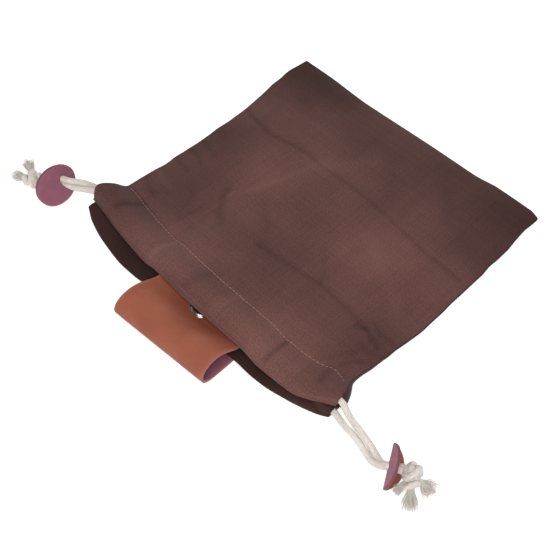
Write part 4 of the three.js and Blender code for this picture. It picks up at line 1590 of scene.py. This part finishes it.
@dataclass
class BeltLoop:
    """The leather strap round the back panel's mouth edge, and its snap."""

    finishes: Wardrobe
    across: int = 56
    around: int = 110
    edge_round: float = 0.45
    easing: int = 34
    rim_width: float = 1.6
    snap_painted_shade_middle: float = 8.0
    snap_painted_shade_width: float = 30.0

    def _line(self, raised: float, reach: float, height: float) -> np.ndarray:
        """The strap's middle line from the snap's tab to the end of the lower flap.

        Args:
            raised: How far this side of the tab is raised.
            reach: How far the loop reaches here.
            height: How high its middle line rises here.

        Returns:
            Points of y and z, y from the mouth's line.
        """
        floor = Bag.leather / 2
        tab = Bag.saddle + floor + raised
        turn = [(0.0, -Bag.cap_diameter / 2, tab)]
        for out, up, side in LOOP:
            turn.append((0.0, -reach * out, floor + height * up + raised * side))
        bend = spaced(centripetal(turn, 12), 0.5)[:, 1:]
        bend[:, 1] = np.maximum(bend[:, 1], floor)
        ends = [(Bag.upper_tab, tab), (Bag.upper_tab * 0.5, tab), (0.0, tab)]
        low = [(-reach * LOOP_BACK, floor), (0.0, floor), (Bag.lower_flap, floor)]
        line = np.concatenate([ends, bend, low])
        line = np.concatenate([np.zeros((len(line), 1)), line], 1)
        return self._eased(spaced(line, 1.0))[:, 1:] + (Bag.snap_y, 0)

    def _eased(self, line: np.ndarray) -> np.ndarray:
        """Rounds a line's corners by averaging each point with its neighbours.

        Args:
            line: Evenly spaced points.

        Returns:
            The line with the same ends.
        """
        for _ in range(self.easing):
            line[1:-1] = (line[:-2] + 2 * line[1:-1] + line[2:]) / 4
        return line

    def strap(self) -> bpy.types.Object:
        """Builds the strap, tan outside, suede inside and with a pale cut edge.

        Returns:
            The strap.
        """
        half = Bag.strap_width / 2
        rows, wear_and_painted_shade_rows = [], []
        shares = np.linspace(0, 1, self.around)
        for x in np.linspace(-half, half, self.across):
            raised = Bag.saddle_rise * float(smoothstep(abs(x), Bag.cap_diameter / 2, half))
            height = Bag.loop_height * (1 + Bag.height_taper * x / half) - Bag.leather
            line = self._line(raised, Bag.loop_reach * (1 - Bag.reach_taper * x / half), height)
            number = np.linspace(0, len(line) - 1, self.around)
            y = np.interp(number, np.arange(len(line)), line[:, 0])
            z = np.interp(number, np.arange(len(line)), line[:, 1])
            rows.append(np.stack([np.full(self.around, x + Bag.strap_centre), y, z], 1))
            # Paler along the worn side edges; darker across the front bend and round the snap, which is
            # painted shade.
            rim = bell(abs(x), half, self.rim_width)
            dip = bell(x, self.snap_painted_shade_middle, self.snap_painted_shade_width) * bell(shares, 0.09, 0.11)
            wear_and_painted_shade_rows.append(0.5 * rim - 0.3 * bell(shares, 0.50, 0.07) - 0.55 * dip)
        grid = np.stack(rows)
        grid[..., 2] += 0.12 * cloth_noise(grid[..., 0], grid[..., 1], 16, 61) * (grid[..., 2] > Bag.leather)
        obj = grid_piece("leather_strap", grid, np.clip(np.stack(wear_and_painted_shade_rows), -1, 1))
        for material in (self.finishes.leather, self.finishes.suede, self.finishes.cut_edge):
            obj.data.materials.append(material)
        if obj.data.polygons[0].normal.z < 0:
            obj.data.flip_normals()
        thicken(obj, Bag.leather, material_offset=1, material_offset_rim=2)
        self._drill(obj)
        round_edges(obj, self.edge_round, 65, material=2)
        smooth(obj, 45)
        return dress(obj, (), ["leather_belt_loop"])

    def _drill(self, obj: bpy.types.Object) -> None:
        """Cuts the snap's holes into the strap.

        Args:
            obj: The thick strap.
        """
        for diameter, low, high in (
            (Bag.post_diameter + 2 * Bag.post_clearance, -1.0, Bag.saddle_top + 2.0),
            (Bag.socket_diameter + 2 * Bag.post_clearance, -1.0, Bag.socket_top + Bag.seam_gap),
        ):
            deselect()
            centre = place((Bag.snap_x, Bag.snap_y, (low + high) / 2))
            bpy.ops.mesh.primitive_cylinder_add(
                vertices=40, radius=diameter / 2 * MM, depth=(high - low) * MM, location=centre
            )
            drill = bpy.context.object
            apply_modifier(obj, "BOOLEAN", object=drill, operation="DIFFERENCE", solver="EXACT")
            bpy.data.objects.remove(drill)

    @staticmethod
    def _turned(name: str, profile: Sequence[tuple[float, float]], steps: int = 64) -> bpy.types.Object:
        """Turns a profile round the snap's axis.

        Args:
            name: The piece's name.
            profile: Points of radius and height in millimetres, from the axis to the axis.
            steps: Faces round it.

        Returns:
            The turned piece.
        """
        mesh = bpy.data.meshes.new(name)
        points = [tuple(place((Bag.snap_x + r, Bag.snap_y, z))) for r, z in profile]
        mesh.from_pydata(points, [(i, i + 1) for i in range(len(points) - 1)], [])
        obj = bpy.data.objects.new(name, mesh)
        bpy.context.scene.collection.objects.link(obj)
        choose(obj)
        bpy.ops.object.mode_set(mode="EDIT")
        bpy.ops.mesh.select_all(action="SELECT")
        centre = place((Bag.snap_x, Bag.snap_y, 0))
        bpy.ops.mesh.spin(steps=steps, angle=2 * math.pi, center=tuple(centre), axis=(0, 0, 1))
        bpy.ops.mesh.select_all(action="SELECT")
        bpy.ops.mesh.remove_doubles(threshold=0.00001)
        bpy.ops.mesh.normals_make_consistent(inside=False)
        bpy.ops.object.mode_set(mode="OBJECT")
        return obj

    def snap(self) -> bpy.types.Object:
        """Builds the snap: a domed cap with a rolled rim, its post and its socket.

        Returns:
            The snap.
        """
        cap, post, socket = Bag.cap_diameter / 2, Bag.post_diameter / 2, Bag.socket_diameter / 2
        under, height = Bag.cap_under, Bag.cap_height
        dome = [(cap - 0.35, under), (cap, under + 0.3), (cap, under + 0.62), (cap - 0.3, under + 0.86)]
        dome += [(cap - 0.75, under + 0.82), (cap - 0.95, under + 0.95)]
        for share in np.linspace(0.12, 1.0, 12):
            radius = (cap - 0.95) * math.cos(share * math.pi / 2)
            dome.append((radius, under + 0.95 + (height - 0.95) * math.sin(share * math.pi / 2)))
        profile = [
            (0.0, Bag.socket_under), (socket - 0.2, Bag.socket_under), (socket, Bag.socket_under + 0.2),
            (socket, Bag.socket_top - 0.2), (socket - 0.2, Bag.socket_top), (post, Bag.socket_top),
            (post, under), *dome,
        ]
        profile[-1] = (0.0, under + height)
        obj = self._turned("snap_cap_and_socket", profile)
        smooth(obj, 50)
        return dress(obj, (self.finishes.nickel,), ["snap_fastener"])

    def build(self) -> None:
        """Builds the strap and its snap."""
        self.strap()
        self.snap()


@dataclass(frozen=True)
class Stopper:
    """A folded round leather disc that two cords pass through."""

    name: str
    node: str
    centre: tuple[float, float, float]
    turns: tuple[float, float, float]
    fold: float
    size: float
    off: float
    slot: float
    edge_round: float = 0.45

    def _bent(self, a: np.ndarray, b: np.ndarray) -> np.ndarray:
        """Folds the disc.

        Args:
            a: Distance from the fold.
            b: Distance along the fold.

        Returns:
            Points in the stopper's own frame.
        """
        half = math.radians(self.fold)
        bend = Bag.bend_reach / half
        near = np.clip(a, -Bag.bend_reach, Bag.bend_reach)
        far = a - near
        radius = bend - Bag.stopper_thickness / 2
        x = radius * np.cos(near / bend) - bend - np.abs(far) * math.sin(half)
        y = radius * np.sin(near / bend) + far * math.cos(half)
        return np.stack([x, y, b], -1)

    def build(self, finishes: Wardrobe) -> bpy.types.Object:
        """Builds the disc, suede towards the bag and smooth leather towards the knot.

        Args:
            finishes: The bag's finishes.

        Returns:
            The disc.
        """
        around, rings = 72, 14
        angle = np.arange(around) / around * 2 * np.pi
        slot_radius = Bag.cord / 2 + Bag.slot_clearance
        slot_half = (Bag.cord + Bag.strand_gap) / 2
        radius = Bag.stopper_diameter / 2 * self.size
        wobble = 1 + 0.008 * np.sin(3 * angle + 1) + 0.006 * np.sin(5 * angle)
        slot = np.stack([slot_radius * np.cos(angle),
                         slot_radius * np.sin(angle) + slot_half * np.sin(angle) ** 3], 1)
        turn = math.radians(self.slot)
        around_hole = np.array([[math.cos(turn), math.sin(turn)], [-math.sin(turn), math.cos(turn)]])
        slot = slot @ around_hole
        rim = radius * np.stack([np.cos(angle) * wobble, np.sin(angle) * wobble], 1) @ around_hole
        rim[:, 0] -= radius * self.off
        share = np.linspace(0, 1, rings)[None, :, None]
        flat = slot[:, None] * (1 - share) + rim[:, None] * share
        local = self._bent(flat[..., 0], flat[..., 1])
        matrix = Matrix.Identity(3)
        for axis, degrees in zip("XYZ", self.turns):
            matrix = matrix @ Matrix.Rotation(math.radians(degrees), 3, axis)
        points = local.reshape(-1, 3) @ np.array(matrix).T + self.centre
        closed = grid_faces(around + 1, rings)
        faces = closed % (around * rings)
        uv = flat.reshape(-1, 2) * MM
        wear_and_painted_shade = np.tile(bell(np.linspace(1, 0, rings), 0, 0.1) * 0.4, around)
        obj = mesh_piece(self.name, place(points), faces, uv, wear_and_painted_shade)
        for material in (finishes.suede, finishes.leather, finishes.suede_edge):
            obj.data.materials.append(material)
        outward = Vector(matrix @ Vector((1, 0, 0)))
        if obj.data.polygons[0].normal.dot(outward) < 0:
            obj.data.flip_normals()
        thicken(obj, Bag.stopper_thickness, material_offset=1, material_offset_rim=2)
        round_edges(obj, self.edge_round, 60, segments=3, material=2)
        smooth(obj, 50)
        return dress(obj, (), [self.node])


STOPPERS = (
    Stopper(
        "left_stopper_disc", "stopper_left", (-145.4, -3.9, 18.1), (7, -13, 2),
        fold=4, size=1.0, off=0.38, slot=0,
    ),
    Stopper(
        "right_stopper_disc", "stopper_right", (171.6, -2.8, 9.5), (108.4, 26.7, -168.8),
        fold=37, size=0.88, off=0.12, slot=69,
    ),
)


@dataclass(frozen=True)
class Knot:
    """An overhand knot of both cords with short frayed ends.

    tufts holds the tip and the fullness of each frayed end. wraps holds the first angle, the turns,
    the shift and the slant of each turn of cord round the knot's core.
    """

    name: str
    node: str
    centre: tuple[float, float, float]
    toward: tuple[float, float, float]
    tufts: tuple[tuple[float, float, float, float], ...]
    seed: int
    width: float = 14.0
    length: float = 18.0
    fibres: int = 150
    fibre: tuple[float, float] = (0.3, 0.5)
    wraps: tuple[tuple[float, float, float, float], ...] = ((0.4, 2.15, 0.0, 0.34), (2.6, 1.1, 0.8, -0.55))

    def _frame(self) -> tuple[np.ndarray, np.ndarray, np.ndarray]:
        """The knot's length and two ways across it."""
        way = np.array(self.toward) / np.linalg.norm(self.toward)
        side = np.cross(way, (0, 0, 1.0))
        side /= np.linalg.norm(side)
        return way, side, np.cross(side, way)

    def _wraps(self) -> list[tuple]:
        """The wraps of cord round the knot's core.

        Returns:
            The surfaces of the wraps.
        """
        way, side, up = self._frame()
        rope = Rope(Bag.cord * 1.02, sides=14, ribs=3, rib_depth=0.07, lay=20.0)
        radius = self.width / 2 - Bag.cord / 2
        centre = np.array(self.centre)
        parts = []
        for start, turns, shift, slant in self.wraps:
            t = np.linspace(0, 1, 70)
            angle = start + t * turns * 2 * np.pi
            reach = radius * (1 - 0.55 * smoothstep(np.abs(t - 0.5) * 2, 0.72, 1.0))
            run = (t - 0.5) * (self.length - Bag.cord * 1.2) * (0.95 if shift == 0 else 0.35)
            along = run + slant * radius * np.cos(angle) * (1 - np.abs(2 * t - 1) ** 3)
            line = (centre + np.outer(along, way) + np.outer(reach * np.cos(angle), side)
                    + np.outer(reach * np.sin(angle), up) * (1.0 + 0.05 * shift))
            parts.append(rope.surface(spaced(line, 0.9)))
        reach = way * self.length * 0.36
        core = spaced(np.stack([centre - reach, centre, centre + reach]), 0.8)
        body = Rope(self.width * 0.66, sides=14, ribs=3, rib_depth=0.05, lay=30.0)
        parts.append(body.surface(core, lambda s: np.clip(np.sin(np.pi * (0.08 + 0.84 * s)), 0.25, 1)))
        return parts

    def _fray(self) -> list[tuple]:
        """The frayed ends: loose locks of fibre that spread from the knot.

        Returns:
            The surfaces of the fibres.
        """
        random = np.random.default_rng(self.seed)
        centre = np.array(self.centre)
        parts = []
        for tip in self.tufts:
            end, full = np.array(tip[:3], float), tip[3]
            start = lerp(centre, end, 0.22)
            way = end - start
            length = np.linalg.norm(way)
            way /= length
            side = np.cross(way, (0, 0, 1.0))
            side /= np.linalg.norm(side)
            up = np.cross(side, way)
            lock = Rope(Bag.cord * min(0.98, full), sides=12, ribs=3, rib_depth=0.1, lay=16.0)
            body = spaced(np.stack([start, start + way * length * 0.5]), 0.8)
            parts.append(lock.surface(body, lambda s: 1.0 - 0.2 * s))
            for _ in range(self.fibres):
                angle, out = random.uniform(0, 2 * np.pi), math.sqrt(random.uniform(0.02, 1))
                spread = out * random.uniform(0.75, 1.3)
                base = Bag.cord * min(0.42, 0.45 * full) * out
                flare = Bag.cord * full * spread
                reach = length * random.uniform(0.72, 1.02)
                t = np.linspace(0.22, 1.0, 7)
                grow = base + (flare - base) * smoothstep(t, 0.2, 0.9)
                curl = random.uniform(-1.6, 1.6, 2)[:, None] * np.maximum(t - 0.45, 0) ** 1.5
                line = (start + np.outer(t * reach, way)
                        + np.outer(grow * math.cos(angle) + curl[0], side)
                        + np.outer(grow * math.sin(angle) + curl[1], up))
                line[:, 2] = np.maximum(line[:, 2], 0.25)
                fibre = Rope(random.uniform(*self.fibre), sides=4, ribs=1, rib_depth=0.0)
                parts.append(fibre.surface(line, lambda s: 1 - 0.45 * s))
        return parts

    def build(self, finishes: Wardrobe) -> bpy.types.Object:
        """Builds the knot with its frayed ends.

        Args:
            finishes: The bag's finishes.

        Returns:
            The knot.
        """
        points, faces, uv = joined([*self._wraps(), *self._fray()])
        obj = mesh_piece(self.name, place(points), faces, uv)
        smooth(obj, 60)
        return dress(obj, (finishes.cotton,), [self.node])


KNOTS = (
    Knot("left_tied_knot", "knot_left", (-167.5, -16.5, 12.0), (0.35, 0.85, 0.40),
         ((-186.5, -23, 6.5, 1.0), (-186, -8.5, 11.5, 1.0)), 5),
    Knot("right_tied_knot", "knot_right", (186.2, 2.2, 12.0), (-0.72, 0.51, 0.47),
         ((202.5, 5.5, 4.6, 1.35), (184.5, -12.0, 4.6, 0.55), (198.5, -14.5, 4.4, 1.15)), 9,
         wraps=((0.4, 1.9, 0.0, 0.75), (2.2, 0.9, 0.8, -0.2))),
)


@dataclass
class Cords:
    """The two cords, from knot to knot through the hems, with their stoppers and knots."""

    finishes: Wardrobe
    hem_steps: int = 20
    soft_diameter: float = 4.8

    def _route(self, front: bool) -> np.ndarray:
        """A cord's centreline.

        Args:
            front: Whether it is the front hem's cord.

        Returns:
            Points in millimetres about 1 mm apart.
        """
        left, right = (FRONT_CORD_LEFT, FRONT_CORD_RIGHT) if front else (BACK_CORD_LEFT, BACK_CORD_RIGHT)
        hem = []
        for across in np.linspace(-1, 1, self.hem_steps + 1):
            mouth = Mouth(float(across))
            y = mouth.front_cord if front else mouth.back_cord
            x = float(side_x(y, float(across)))
            height = front_hem_height(x, y, mouth) if front else back_height(x, y)
            hem.append((x, y, float(height) + Bag.cloth / 2 + Bag.tunnel_play + Bag.cord / 2))
        return spaced(centripetal([*left, *hem, *right], 12), 1.0)

    def build(self) -> None:
        stoppers = [stopper.build(self.finishes) for stopper in STOPPERS]
        knots = [knot.build(self.finishes) for knot in KNOTS]
        rope = Rope(self.soft_diameter, sides=24, ribs=5, rib_depth=0.05, lay=90.0)
        for side in ("front", "back"):
            name, node, front = f"{side}_cotton_cord", f"cord_{side}", side == "front"
            line = self._route(front)
            points, faces, uv = rope.surface(line)
            obj = mesh_piece(name, place(points), faces, uv)
            smooth(obj, 60)
            dress(obj, (self.finishes.cotton,), [node])


# name, place and width in metres, power in watts
LIGHTS = (
    ("key", (0.25, -0.40, 0.62), 0.5, 3.2),
    ("fill", (-0.5, 0.5, 0.8), 0.8, 0.9),
)


@dataclass(frozen=True)
class Studio:
    """Pale floor, soft lights and the camera at the photograph's angle."""

    azimuth: float = 38.148
    elevation: float = 54.291
    roll: float = 6.446
    distance: float = 0.60423
    aim: tuple[float, float, float] = (0.01727, -0.0671, 0.0)
    lens: float = 53.8
    sky: float = 0.62
    glow: float = 0.45

    def camera(self) -> None:
        """Adds the camera."""
        turn, tilt, roll = (math.radians(a) for a in (self.azimuth, self.elevation, self.roll))
        back = Vector((math.sin(turn) * math.cos(tilt), -math.cos(turn) * math.cos(tilt), math.sin(tilt)))
        right = Vector((math.cos(turn), math.sin(turn), 0))
        up = back.cross(right)
        right, up = (
            math.cos(roll) * right + math.sin(roll) * up,
            math.cos(roll) * up - math.sin(roll) * right,
        )
        data = bpy.data.cameras.new("camera")
        data.lens = self.lens
        data.sensor_width = 36
        data.clip_start, data.clip_end = 0.01, 50
        camera = bpy.data.objects.new("camera", data)
        matrix = Matrix((right, up, back)).transposed().to_4x4()
        matrix.translation = Vector(self.aim) + back * self.distance
        camera.matrix_world = matrix
        bpy.context.scene.collection.objects.link(camera)
        bpy.context.scene.camera = camera

    @staticmethod
    def _light(name: str, spot: tuple[float, float, float], size: float, watts: float) -> None:
        """Adds an area light that faces the bag.

        Args:
            name: Its name.
            spot: Where it is.
            size: Its width in metres.
            watts: Its power.
        """
        data = bpy.data.lights.new(name, "AREA")
        data.shape, data.size, data.energy = "DISK", size, watts
        light = bpy.data.objects.new(name, data)
        light.location = spot
        light.visible_camera = False
        light.rotation_euler = Vector(spot).to_track_quat("Z", "Y").to_euler()
        bpy.context.scene.collection.objects.link(light)

    def _sky(self) -> None:
        """Adds a white sky whose upper part looks darker in glossy surfaces, as a dim ceiling would."""
        world = bpy.data.worlds.new("sky")
        world.use_nodes = True
        tree = NodeTree(world.node_tree)
        plain = world.node_tree.nodes["Background"]
        plain.inputs[0].default_value = (1, 1, 1, 1)
        rays = tree.add("LightPath")
        seen = tree.span(rays.outputs["Is Camera Ray"], 0, 1, self.sky, 1)
        tree.link(seen, plain.inputs[1])
        way = tree.add("SeparateXYZ", {0: tree.add("NewGeometry").outputs["Incoming"]})
        height = tree.span(tree.math("ABSOLUTE", way.outputs[2]), 0.2, 0.6, 1.0, 0.12)
        glossy = tree.add("Background", {0: (1, 1, 1, 1), 1: height})
        both = tree.add("MixShader", {0: rays.outputs["Is Glossy Ray"]})
        tree.link(plain.outputs[0], both.inputs[1])
        tree.link(glossy.outputs[0], both.inputs[2])
        tree.link(both.outputs[0], world.node_tree.nodes["World Output"].inputs[0])
        bpy.context.scene.world = world

    def build(self) -> None:
        """Adds the camera, lights, sky and floor."""
        self.camera()
        for name, spot, size, watts in LIGHTS:
            self._light(name, spot, size, watts)
        self._sky()
        bpy.context.scene.view_settings.view_transform = "Standard"
        deselect()
        bpy.ops.mesh.primitive_plane_add(size=8, location=(0, 0, -0.0004))
        floor = bpy.context.object
        floor.name = "floor"
        material = bpy.data.materials.new("pale_floor")
        material.use_nodes = True
        shader = material.node_tree.nodes["Principled BSDF"]
        shader.inputs["Base Color"].default_value = (0.85, 0.85, 0.85, 1)
        shader.inputs["Roughness"].default_value = 0.9
        shader.inputs["Specular IOR Level"].default_value = 0.1
        shader.inputs["Emission Color"].default_value = (1, 1, 1, 1)
        shader.inputs["Emission Strength"].default_value = self.glow
        floor.data.materials.append(material)


def main() -> None:
    """Builds the scene round the CAD frame."""
    logging.basicConfig(level=logging.INFO, format="%(name)s: %(message)s")
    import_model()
    Studio().build()
    finishes = Wardrobe()
    Cords(finishes).build()
    BeltLoop(finishes).build()
    Panels(finishes).build()


if __name__ == "__main__":
    main()
